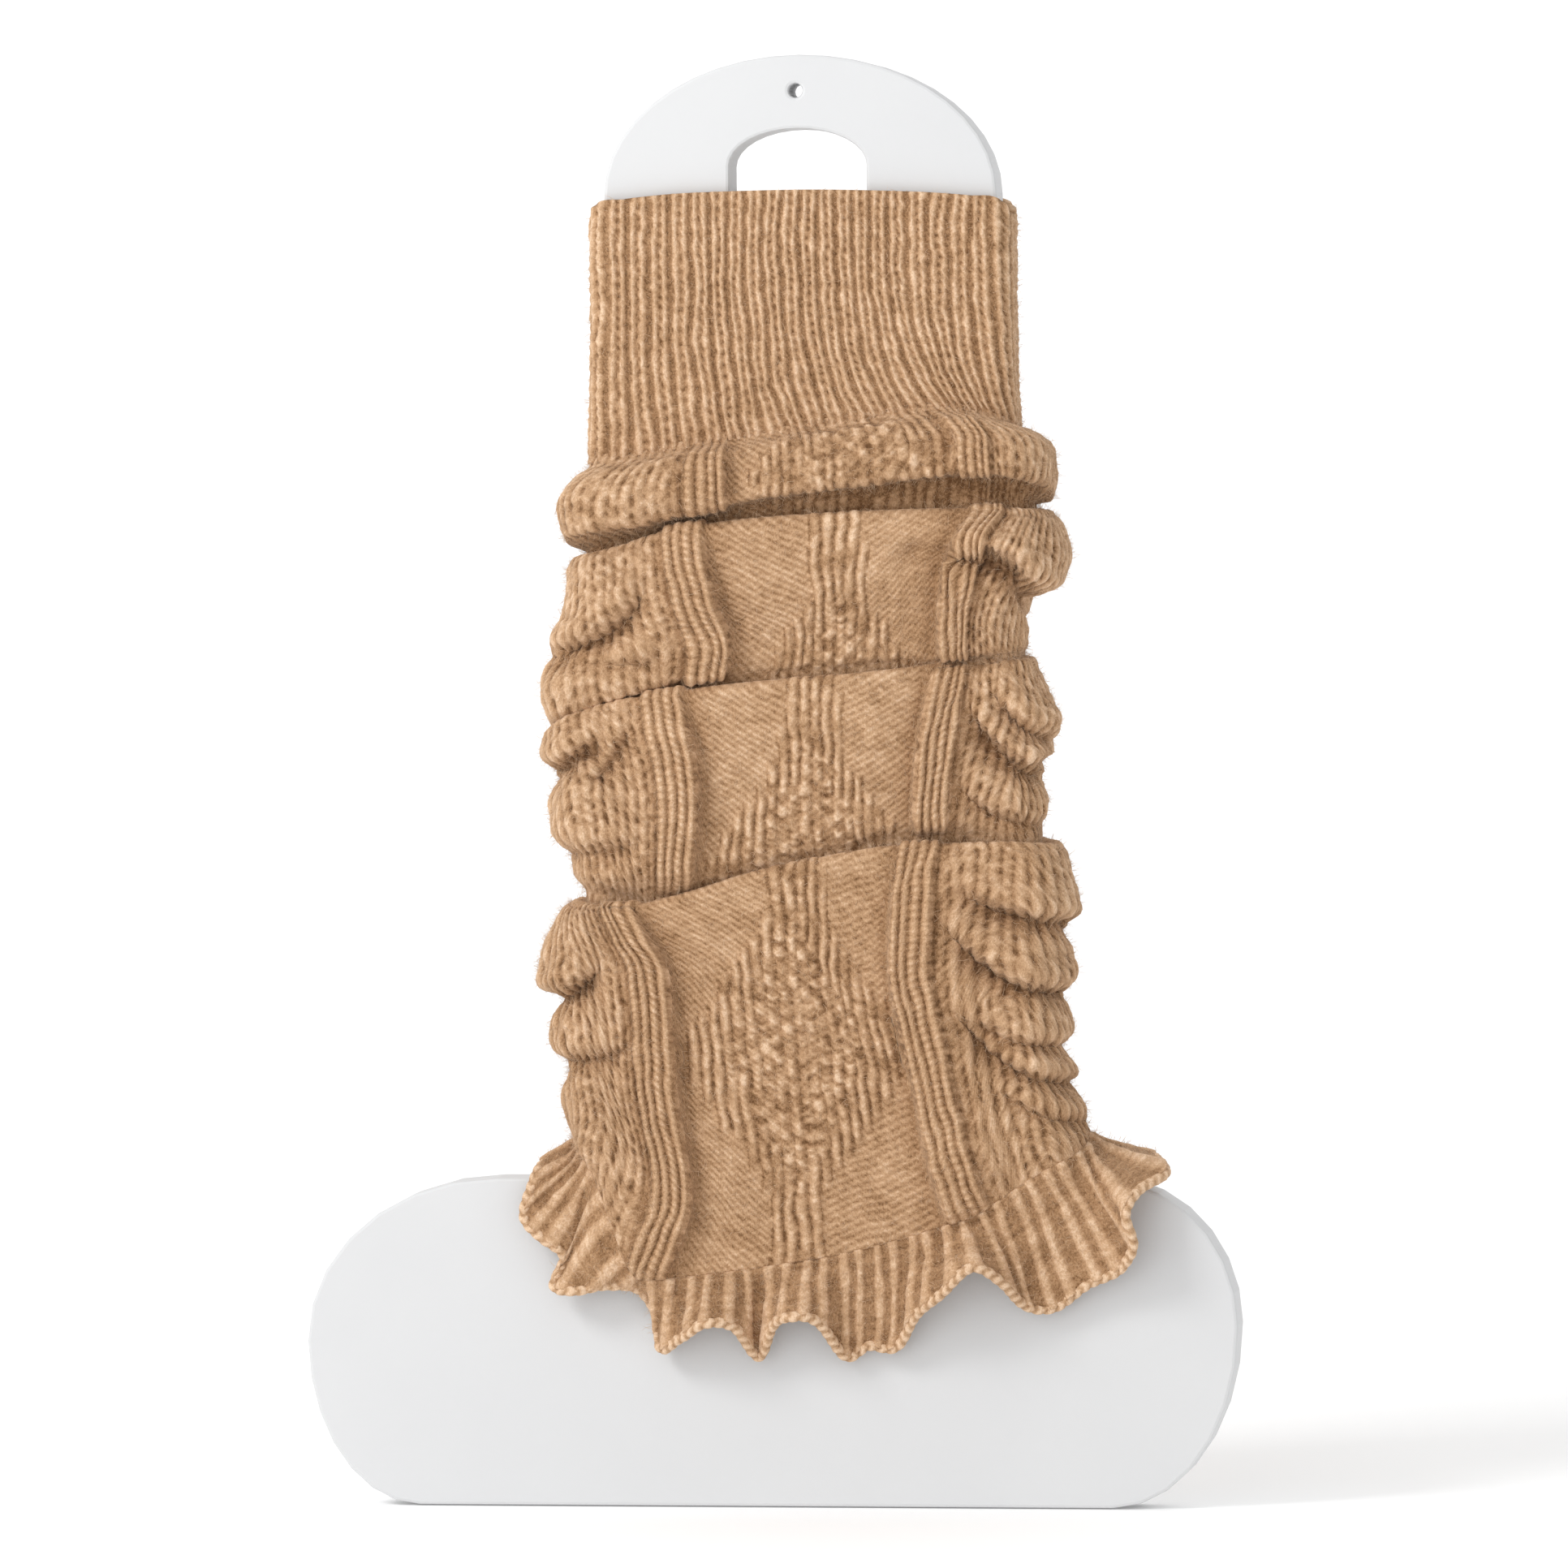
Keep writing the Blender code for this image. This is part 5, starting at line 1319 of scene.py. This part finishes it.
@dataclass
class Cuff:
    """Ribbed cuff: 48 ribs, each a knit wale whose two legs show as ridges."""

    tube: TubeForm
    ribs: int = 48
    columns_per_rib: int = 10
    row_length: float = 0.80
    height: float = 76.0
    overlap: float = 1.03
    course: float = 3.25
    ridge_place: float = 0.225
    ridge_half: float = 0.155
    ridge_raise: float = 1.7
    inset: float = 0.55
    rim: float = 0.35
    flat: Pair = (0.300, 0.078)

    def wall(self) -> Wall:
        """Wall with the relief of the ribs.

        Returns:
            The wall.
        """
        u = np.arange(self.ribs * self.columns_per_rib) / (self.ribs * self.columns_per_rib)
        t = np.linspace(0.0, self.overlap, round(self.height / self.row_length))
        middle = self.tube.cuff(t, u)
        b = np.broadcast_to((t * self.height)[:, None], middle.shape[:2])
        rib = np.broadcast_to(u * self.ribs, b.shape)
        at = Places(rib, b, self.ribs)
        drift = 0.11 * at.noise(11, 2.0, 15.0) + 0.075 * at.noise(12, 0.5, 4.5)
        p = np.mod(rib + drift, 1.0) - 0.5
        own = stitch_noise(np.floor(2 * rib) + 0.5, np.zeros_like(b) + 0.5, 16, 2 * self.ribs)
        c = b / self.course + 0.45 * at.noise(13, 0.5, 8.0) + 0.35 * own
        off = np.abs(p) - self.ridge_place - 0.020 * np.sin(TAU * c)
        narrow = self.ridge_half * (1 + 0.22 * at.noise(15, 0.5, 3.2))
        glint = at.noise(17, 0.5, 2.1)
        bead = 0.88 + 0.10 * np.cos(TAU * (c + 0.25)) + 0.12 * glint
        legs = np.clip(1 - (off / narrow) ** 2, 0.0, 1.0) ** 0.6 * bead
        hole = wave(c) ** 1.5 * (0.75 + 0.25 * own)
        floor = np.where(np.abs(p) < self.ridge_place, 0.40 - 0.26 * hole, 0.30 - 0.30 * hole)
        shape = np.maximum(legs, floor)
        fade = smooth(-0.01, 0.03, t)[:, None]
        uneven = 0.10 * stitch_noise(rib * 2, c, 14, 2 * self.ribs)
        relief = (shape + uneven * legs) * self.ridge_raise * (0.55 + 0.45 * fade)
        relief = relief + self.rim * (1 - fade) - self.inset
        # Painted shade and highlight: the tone is dark in the grooves and holes and light on the ridges,
        # as the relief is, with painted glints.
        tone = np.clip(0.01 + 0.96 * shape + 0.10 * glint, 0.0, 1.0)
        return Wall("cuff_knit", middle, relief, tone, rib + drift, c)

    def build(self, wool: bpy.types.Material) -> list[Wall]:
        """Build and dress the cuff.

        Args:
            wool: Finish of the knit.

        Returns:
            Its wall.
        """
        wall = self.wall()
        piece = wall.build()
        dress(piece, wool, Node.CUFF)
        return [wall]


@dataclass
class Leg:
    """Slouched leg in four walls that meet deep in the tucks."""

    tube: TubeForm
    row_length: float = 0.72
    wale_width: float = 3.5
    course: float = 2.4
    wales: tuple[float, ...] = (0.0, 14.0, 16.0, 36.0, 38.0, 50.0, 100.0)
    columns: tuple[int, ...] = (84, 22, 124, 22, 76, 200)
    panels: tuple[tuple[str, Pair], ...] = (
        ("leg_roll_knit", (0.345, 0.052)),
        ("leg_upper_knit", (0.345, 0.068)),
        ("leg_middle_knit", (0.345, 0.075)),
        ("leg_lower_knit", (0.350, 0.125)),
    )
    core: Pair = (0.62, 0.82)
    lump_pitch: float = 9.4
    cell: Pair = (4.4, 6.1)
    spine: Pair = (8.5, 9.5)
    pit_period: float = 1.7
    purl_period: float = 2.5
    nub_period: float = 1.6
    hollow_depth: float = 5.5
    beside_fall: float = 0.85
    end_fade: float = 4.0
    inset: float = 0.25

    def edges(self) -> tuple[float, ...]:
        """Shares of the turn where the zones meet."""
        bands = [place + side * BAND_HALF for place in (BAND_LEFT, BAND_RIGHT) for side in (-1, 1)]
        return (0.0, *bands, HALF_TURN, 1.0)

    def shares(self) -> Array:
        """Shares of the turn of all columns."""
        zones = zip(self.edges()[:-1], self.edges()[1:], self.columns)
        return np.concatenate([np.linspace(a, b, count, endpoint=False) for a, b, count in zones])

    def rows(self, u: Array) -> Array:
        """Evenly spaced rows, with one in the turn of each tuck.

        Args:
            u: Shares of the turn.

        Returns:
            Profile positions.
        """
        dense = np.linspace(0.0, self.tube.last_row(), 1600)
        length = down_lengths(self.tube.leg(dense, u[::12])[0]).mean(axis=1)
        count = round(length[-1] / self.row_length)
        q = np.interp(np.linspace(0.0, length[-1], count + 1), length, dense)
        for split in self.tube.tuck_turns():
            q[np.argmin(np.abs(q - split))] = split
        return q

    def recess(self, q: Array) -> Array:
        """1 on the cloth that runs back in below the roll and 0 elsewhere, one row each."""
        turned = smooth(5.6, 6.7, q) * (1 - 0.45 * smooth(7.2, 8.4, q))
        return (turned * (q < self.tube.tuck_turns()[0]))[:, None]

    def beside_bands(self, wale: Array, panel: Array) -> Array:
        """How far the knit falls back beside the rib bands.

        Args:
            wale: Wale numbers.
            panel: Panel numbers.

        Returns:
            Share from 0 to 1.
        """
        off = [(wale - edge) * self.wale_width for edge in self.wales[1:5]]
        narrow = 0.75 * (bell(off[1], 4.5) + bell(off[2], 4.0))
        within = np.clip(narrow + 0.8 * bell(off[2], 11.0) * (panel == 1), 0.0, 1.0)
        outside = bell(off[0], 3.0) * (off[0] < 0) + bell(off[3], 3.0) * (off[3] > 0)
        return np.where((off[1] > 0) & (off[2] < 0), within, outside)

    def hollows(self, points: Array, u: Array, q: Array, b: Array) -> Array:
        """How deep in a fold each point lies.

        Args:
            points: Middle surface.
            u: Shares of the turn.
            q: Profile positions.
            b: Length down the cloth, in millimetres.

        Returns:
            Share of shade, from 0 in the open to 1.
        """
        pulled = self.tube.crease_depth(points[..., 0], points[..., 2], face_sign(u)[None, :])
        # Painted shade: deep in the creases, just above each tuck and in the recess under the roll.
        total = 0.88 * np.clip(pulled / self.hollow_depth, 0.0, 1.0)
        for turn, (tuck, _) in zip(self.tube.tuck_turns(), TUCKS):
            above = b[np.argmin(np.abs(q - turn))] - b
            shade = np.where(above > -6.0, 1 - smooth(3.5, 8.0, above), 0.0)
            total = np.maximum(total, shade * across(u, tuck.full)[None, :])
        return np.maximum(total, self.recess(q))

    def diamonds(self, x: Array, z: Array, panel: Array) -> tuple[Array, Array, Array]:
        """Where each point lies in the diamonds.

        Args:
            x: X of the middle of each point's wale.
            z: Heights.
            panel: Panel numbers.

        Returns:
            Distance measures that are 1 on a diamond's outline and on that of its moss-stitch
            core, and distance from its middle in X.
        """
        far, core, near_x = np.full(x.shape, 9.0), np.full(x.shape, 9.0), np.full(x.shape, 99.0)
        for diamond in DIAMONDS:
            here = panel == diamond.panel
            near_x = np.where(here, np.abs(x - diamond.x), near_x)
            off, rise = near_x / diamond.half_x, np.abs(z - diamond.z) / diamond.half_z
            far = np.where(here, off + rise, far)
            core = np.where(here, off / self.core[0] + rise / self.core[1], core)
        return far, core, near_x

    def relief(self, points: Array, u: Array, q: Array, b: Array) -> tuple[Array, ...]:
        """Stitch relief of the whole leg.

        Args:
            points: Middle surface.
            u: Shares of the turn.
            q: Profile positions.
            b: Length down the cloth, in millimetres.

        Returns:
            Relief in millimetres, tone from 0 to 1 with painted shade and highlight, wale and course
            numbers.
        """
        x, total = points[..., 0], int(self.wales[-1])
        wale = np.broadcast_to(np.interp(u, self.edges(), self.wales), x.shape)
        turn = np.broadcast_to(u, x.shape)
        at = Places(wale, b, total)
        centre = (turn > BAND_LEFT + BAND_HALF) & (turn < BAND_RIGHT - BAND_HALF)
        band = (np.abs(turn - BAND_LEFT) <= BAND_HALF) | (np.abs(turn - BAND_RIGHT) <= BAND_HALF)
        calm = np.minimum(1.0, np.abs(wale - np.round(wale / total) * total))
        w = wale + 0.22 * calm * np.where(band, 0.25, 1.0) * at.noise(21, 4.0, 10.0)
        c = b / self.course + 0.40 * at.noise(22, 2.0, 13.0)

        stroke = strokes(w, c, (turn > CENTRE).astype(float))
        uneven = stitch_noise(w, c, 23, total)
        patch, streak = at.noise(25, 2.5, 6.5), at.noise(26, 1.0, 5.0)
        speck = at.noise(29, 0.5, 1.8)
        broken = smooth(-0.60, 0.30, streak + 0.25 * speck)
        place = w + 0.14 * at.noise(30, 1.0, 4.0)

        panel = np.digitize(q, self.tube.tuck_turns())[:, None]
        x_wale = x + (np.floor(w) + 0.5 - w) * self.wale_width
        far, core, near_x = self.diamonds(x_wale, points[..., 2], panel)
        inside = (1 - smooth(0.96, 1.04, far + 0.05 * at.noise(31, 1.0, 4.0))) * centre
        core = core + 0.12 * at.noise(34, 2.0, 7.0)
        moss = inside * (1 - smooth(0.90, 1.10, core)) * (1 - self.recess(q))
        border = inside - moss + (1 - smooth(*self.spine, near_x)) * (1 - inside) * centre
        rib = strand(place, 0.40, 0.7) * (0.45 + 0.55 * broken)
        purl = knit_and_purl(place + 0.12 * patch, c + 0.5 * uneven, self.purl_period)
        run, rise = w * self.wale_width, c * self.course
        cell = checks(run / self.cell[0] + 0.3 * patch, rise / self.cell[1] + 0.3 * patch)
        tuft = 0.66 * strand(place, 0.46, 0.7) * (0.25 + 0.75 * purl) + 0.30 * cell + 0.20 * stroke
        tuft = tuft * (0.68 + 0.32 * broken)
        run, rise = run + 0.5 * patch, rise + 0.5 * uneven
        ways = (run + rise) / self.lump_pitch, (run - rise) / self.lump_pitch
        lump = np.cos(TAU * ways[0]) * np.cos(TAU * ways[1])

        row = c / self.pit_period + 0.5 * np.mod(np.round(place), 2) + 0.5
        own = stitch_noise(np.round(place) + 0.5, row, 27, total)
        pit = pits(place, c + 0.7 * patch, self.pit_period, 0.24, 0.32) * (0.60 + 0.40 * own)
        thread = strand(place, 0.44, 0.75) * (0.62 + 0.38 * broken)
        nubs = np.cos(TAU * (place + 0.5)) * np.cos(TAU * (c / self.nub_period + 0.3 * patch))
        nubs = 0.5 + 0.5 * nubs
        band_middle = np.where(u < CENTRE, BAND_LEFT, BAND_RIGHT)
        cords = 2 * (np.clip((u - band_middle) / BAND_HALF, -1.0, 1.0) + 1)[None, :]
        cord = np.abs(np.sin(np.pi * (cords + 0.16 * patch))) ** 0.95
        cord = cord * (0.84 + 0.16 * np.cos(TAU * (c + 0.4 * np.floor(cords))))
        cord = cord * (0.94 + 0.10 * streak) + 0.12 * speck

        plain = 0.34 * stroke + 0.08 * uneven + 0.05 * speck
        side = 0.55 * thread + 0.14 * nubs - 0.70 * pit + 0.26 * speck + 0.18
        mossy = 1.50 * tuft + 0.18 * speck + 0.15 * patch + 0.50 * lump
        knit = np.where(centre, plain, side) * (1 - border - moss)
        knit = knit + (1.15 * rib + 0.10 * speck + 0.10) * border + mossy * moss
        knit = np.where(band, 1.90 + 1.60 * cord, knit) + 0.35 * inside
        calm_zone = centre | band
        knit = knit + np.where(calm_zone, 0.20, 0.85) * at.noise(24, 5.0, 15.0)
        knit = knit + np.where(calm_zone, 0.08, 0.35) * at.noise(28, 2.0, 6.0)
        on_roll = (1 - smooth(6.0, 7.5, q))[:, None]
        swell = value_noise(wale / 2.5 + b / 9.0, b / 7.0, 33, 40)
        knit = knit + on_roll * (at.noise(32, 6.0, 11.0) + 0.6 * swell)
        beside = self.beside_bands(wale, panel) * (turn < HALF_TURN)
        knit = knit - self.beside_fall * beside

        # Tone: painted shade and highlight of the stitches, dark in pits and grooves and light on
        # strands and lumps, with random unevenness.
        plain = 0.38 + 0.36 * stroke + 0.10 * uneven + 0.08 * patch + 0.12 * speck
        side = 0.44 + 0.28 * thread + 0.08 * nubs - 0.52 * pit + 0.26 * speck + 0.06 * patch
        mossy = 0.14 + 0.80 * tuft + 0.24 * speck + 0.06 * patch + 0.12 * lump
        tone = np.where(centre, plain, side) * (1 - border - moss)
        tone = tone + (0.16 + 0.68 * rib + 0.20 * speck) * border + mossy * moss
        # The roll and the lowest panel are a little darker; on the lowest panel this is painted shade
        # for the light falling off towards the bottom.
        tone = np.where(band, 0.02 + 0.90 * cord, tone) - 0.06 * on_roll - 0.06 * (panel == 3)
        # Painted shade in the creases, above the tucks, in the recess under the roll and beside the rib
        # bands, a little less on the strands.
        shade = self.hollows(points, u, q, b) * (1.04 - 0.26 * thread)
        shade = np.maximum(shade, 0.62 * beside)
        tone = np.clip(tone * (1 - 0.50 * shade) - 0.20 * shade, 0.0, 1.0)
        return knit, tone, w, c

    def walls(self) -> list[Wall]:
        """Walls of the four panels.

        Returns:
            The walls, from the top.
        """
        u = self.shares()
        q = self.rows(u)
        points, raised = self.tube.leg(q, u)
        b = down_lengths(points)
        knit, tone, wale, course = self.relief(points, u, q, b)
        ending = 0.20 + 0.80 * smooth(0.0, self.end_fade, b[-1] - b)
        relief = knit * (0.12 + 0.88 * raised) * ending - self.inset
        splits = (0.0, *self.tube.tuck_turns(), q[-1])
        cuts = [int(np.argmin(np.abs(q - split))) for split in splits]
        arrays = points, relief, tone, wale, course
        ends = zip(self.panels, cuts[:-1], cuts[1:])
        return [Wall(name, *(a[top : end + 1] for a in arrays)) for (name, _), top, end in ends]

    def build(self, wool: bpy.types.Material) -> list[Wall]:
        """Build and dress the leg.

        Args:
            wool: Finish of the knit.

        Returns:
            Its walls.
        """
        walls = self.walls()
        for wall, (_, flat) in zip(walls, self.panels):
            piece = wall.build()
            dress(piece, wool, Node.LEG)
        return walls


@dataclass
class Hem:
    """Gathered hem in wide rib with its bound-off edge."""

    form: HemForm
    columns_per_rib: int = 9
    rows: int = 64
    course: float = 2.9
    ridge_raise: float = 1.7
    inset: float = 0.45
    thickness: float = 1.8
    inner_step: int = 2
    edge_points: int = 1300
    edge_rows: Triple = (0.94, 0.97, 1.0)
    edge_radius: float = 1.70
    rests_on: str = "leg_lower_knit"
    flat: Pair = (0.430, 0.036)

    def wall(self) -> Wall:
        """Wall with the relief of the hem's ribs.

        Returns:
            The wall.
        """
        g = np.arange(self.form.ribs * self.columns_per_rib) / self.columns_per_rib
        t = np.linspace(0.0, 1.0, self.rows)
        middle = self.form.surface(t, g)
        b = down_lengths(middle)
        rib = np.broadcast_to(g, b.shape)
        at = Places(rib, b, self.form.ribs)
        pair = 0.07 * np.cos(np.pi * np.floor(rib))
        p = np.mod(rib + 0.09 * at.noise(31, 1.0, 8.0), 1.0) - 0.5 + pair
        c = b / self.course + 0.4 * at.noise(32, 1.0, 8.0)
        glint = at.noise(34, 0.5, 2.4)
        width = 0.29 * (1 + 0.25 * at.noise(35, 1.0, 4.0))
        ridge = np.clip(1 - (p / width) ** 2, 0.0, 1.0) ** 0.6 * (0.92 + 0.14 * glint)
        gap = 0.30 - 0.18 * wave(c) + 0.08 * glint
        shape = np.maximum(ridge - 0.14 * bell(p, 0.07), gap)
        soft = 0.5 + 0.5 * smooth(0.0, 0.06, t)[:, None]
        relief = (shape + 0.30 * at.noise(33, 3.0, 9.0)) * self.ridge_raise * soft - self.inset
        # Painted shade and highlight: the tone follows the rib relief, dark in the gaps and light on the
        # ridges, with painted glints.
        tone = np.clip(0.08 + 0.82 * shape + 0.06 * glint, 0.0, 1.0)
        return Wall("hem_knit", middle, relief, tone, rib, c, self.thickness, self.inner_step)

    def bound_edge(self) -> Thing:
        """Bound-off edge along the hem.

        Returns:
            The mesh object.
        """
        ribs = np.linspace(0.0, self.form.ribs, self.edge_points, endpoint=False)
        points = self.form.surface(np.array(self.edge_rows), ribs)
        return Yarn("hem_bound_edge", self.edge_radius).build(points[2], grid_normals(points)[2])

    def build(self, wool: bpy.types.Material) -> list[Wall]:
        """Build and dress the hem.

        Args:
            wool: Finish of the knit.

        Returns:
            Its wall.
        """
        wall = self.wall()
        piece = wall.build()
        dress(piece, wool, Node.HEM)
        edge = self.bound_edge()
        dress(edge, wool, Node.HEM)
        return [wall]


@dataclass(frozen=True)
class Fuzz:
    """Loose fibres that stand off the knit."""

    count: int = 52000
    length: Pair = (1.0, 4.4)
    width: float = 0.090
    seed: int = 5

    def build(self, walls: list[Wall], wool: bpy.types.Material) -> None:
        """Build and dress fine two-step ribbons rooted on the knit.

        Args:
            walls: Walls of the knit.
            wool: Finish of the knit.
        """
        points = np.vstack([wall.outer().reshape(-1, 3) for wall in walls])
        normals = np.vstack([grid_normals(wall.middle).reshape(-1, 3) for wall in walls])
        rng = np.random.default_rng(self.seed)
        pick = rng.integers(0, len(points), self.count)
        root, out = points[pick], normals[pick]
        wild = rng.normal(0.0, 1.0, (self.count, 3))
        first = unit(out * rng.uniform(0.3, 1.0, (self.count, 1)) + 0.6 * wild)
        first = first - 2 * np.minimum(np.sum(first * out, axis=1, keepdims=True), 0.0) * out
        second = unit(first + 0.8 * rng.normal(0.0, 1.0, (self.count, 3)) + 0.3 * out)
        half = rng.uniform(*self.length, (self.count, 1)) / 2
        middle = root + first * half
        flat = np.cross(first, rng.normal(0.0, 1.0, (self.count, 3)))
        flat = unit(flat) * self.width / 2
        corners = [root - flat, root + flat, middle + flat, middle - flat, middle + second * half]
        start = np.arange(self.count) * len(corners)
        quads = np.stack([start, start + 1, start + 2, start + 3], -1).tolist()
        tips = np.stack([start + 3, start + 2, start + 4], -1).tolist()
        verts = np.stack(corners, 1).reshape(-1, 3)
        piece = make_mesh("loose_fibres", verts, quads + tips, None, np.ones(len(verts)))
        dress(piece, wool, None)


# ------------------------------------------------------------------ studio
@dataclass(frozen=True)
class Lamp:
    """Square soft light."""

    name: str
    place: Triple
    size: float
    power: float


@dataclass
class Studio:
    """Floor, lights and camera."""

    aim: Triple = (0.0069, -0.009, 0.2239)
    distance: float = 3.2
    yaw: float = 8.0
    pitch: float = 2.0
    roll: float = 0.5
    view_width: float = 0.483
    sensor: float = 36.0
    width: float = 6.0
    front: float = -3.0
    back: float = 1.2
    height: float = 3.4
    sweep: float = 0.8
    sweep_steps: int = 12
    floor_gap: float = 0.0004
    ambient: float = 0.72
    lamps: tuple[Lamp, ...] = (
        Lamp("key", (-1.15, -1.20, 1.35), 0.6, 16.0),
        Lamp("fill", (-0.80, -2.30, 0.80), 2.0, 11.0),
    )

    def add(self, name: str, data: bpy.types.ID) -> Thing:
        """Add an object to the scene.

        Args:
            name: Its name.
            data: Camera, light or mesh.

        Returns:
            The object.
        """
        thing = bpy.data.objects.new(name, data)
        bpy.context.scene.collection.objects.link(thing)
        return thing

    def camera(self) -> None:
        """Camera at the photograph's viewing angle."""
        data = bpy.data.cameras.new("view")
        data.sensor_width, data.sensor_fit = self.sensor, "HORIZONTAL"
        data.lens = self.sensor * self.distance / self.view_width
        data.dof.use_dof = False
        camera = self.add("view", data)
        yaw, pitch = math.radians(self.yaw), math.radians(self.pitch)
        flat = self.distance * math.cos(pitch)
        away = flat * math.sin(yaw), -flat * math.cos(yaw), self.distance * math.sin(pitch)
        camera.location = np.add(self.aim, away)
        camera.rotation_euler = (math.radians(90.0) - pitch, math.radians(self.roll), yaw)
        bpy.context.scene.camera = camera

    def light(self, lamp: Lamp) -> None:
        """Add a light aimed at the middle of the object.

        Args:
            lamp: Its sizes.
        """
        data = bpy.data.lights.new(lamp.name, "AREA")
        data.size, data.energy = lamp.size, lamp.power
        light = self.add(lamp.name, data)
        light.location = lamp.place
        away = np.subtract(lamp.place, self.aim)
        tilt = math.atan2(math.hypot(away[0], away[1]), away[2])
        light.rotation_euler = (tilt, 0.0, math.atan2(away[0], -away[1]))

    def floor(self) -> None:
        """Pale paper that sweeps up behind the object."""
        turns = np.radians(90.0 * np.arange(1, self.sweep_steps + 1) / self.sweep_steps)
        foot = self.back - self.sweep
        sweep = [(foot + self.sweep * math.sin(a), self.sweep * (1 - math.cos(a))) for a in turns]
        profile = [(self.front, 0.0), (foot, 0.0), *sweep, (self.back, self.height)]
        sides = (-self.width / 2, self.width / 2)
        verts = [(x, y, z - self.floor_gap) for y, z in profile for x in sides]
        faces = [(2 * k, 2 * k + 1, 2 * k + 3, 2 * k + 2) for k in range(len(profile) - 1)]
        mesh = bpy.data.meshes.new("studio_paper")
        mesh.from_pydata(verts, [], faces)
        mesh.shade_smooth()
        mesh.materials.append(FloorFinish("studio_paper").make())
        self.add("studio_paper", mesh)

    def world(self) -> None:
        """Even pale surroundings."""
        world = bpy.data.worlds.new("studio")
        world.use_nodes = True
        back = world.node_tree.nodes["Background"]
        back.inputs["Color"].default_value = (1.0, 1.0, 1.0, 1.0)
        back.inputs["Strength"].default_value = self.ambient
        bpy.context.scene.world = world

    def build(self) -> None:
        """Build all of the studio."""
        self.camera()
        self.floor()
        self.world()
        for lamp in self.lamps:
            self.light(lamp)
        bpy.context.scene.view_settings.view_transform = "Standard"


def main() -> None:
    """Build the studio, the board and the knit, in order."""
    logging.basicConfig(level=logging.INFO, format="%(name)s: %(message)s")
    Studio().build()
    Board().build()
    tube = TubeForm()
    wool = WoolFinish("camel_wool").make()
    walls: list[Wall] = []
    for part in (Cuff(tube), Leg(tube), Hem(HemForm(tube))):
        walls += part.build(wool)
    Fuzz().build(walls, wool)


if __name__ == "__main__":
    main()
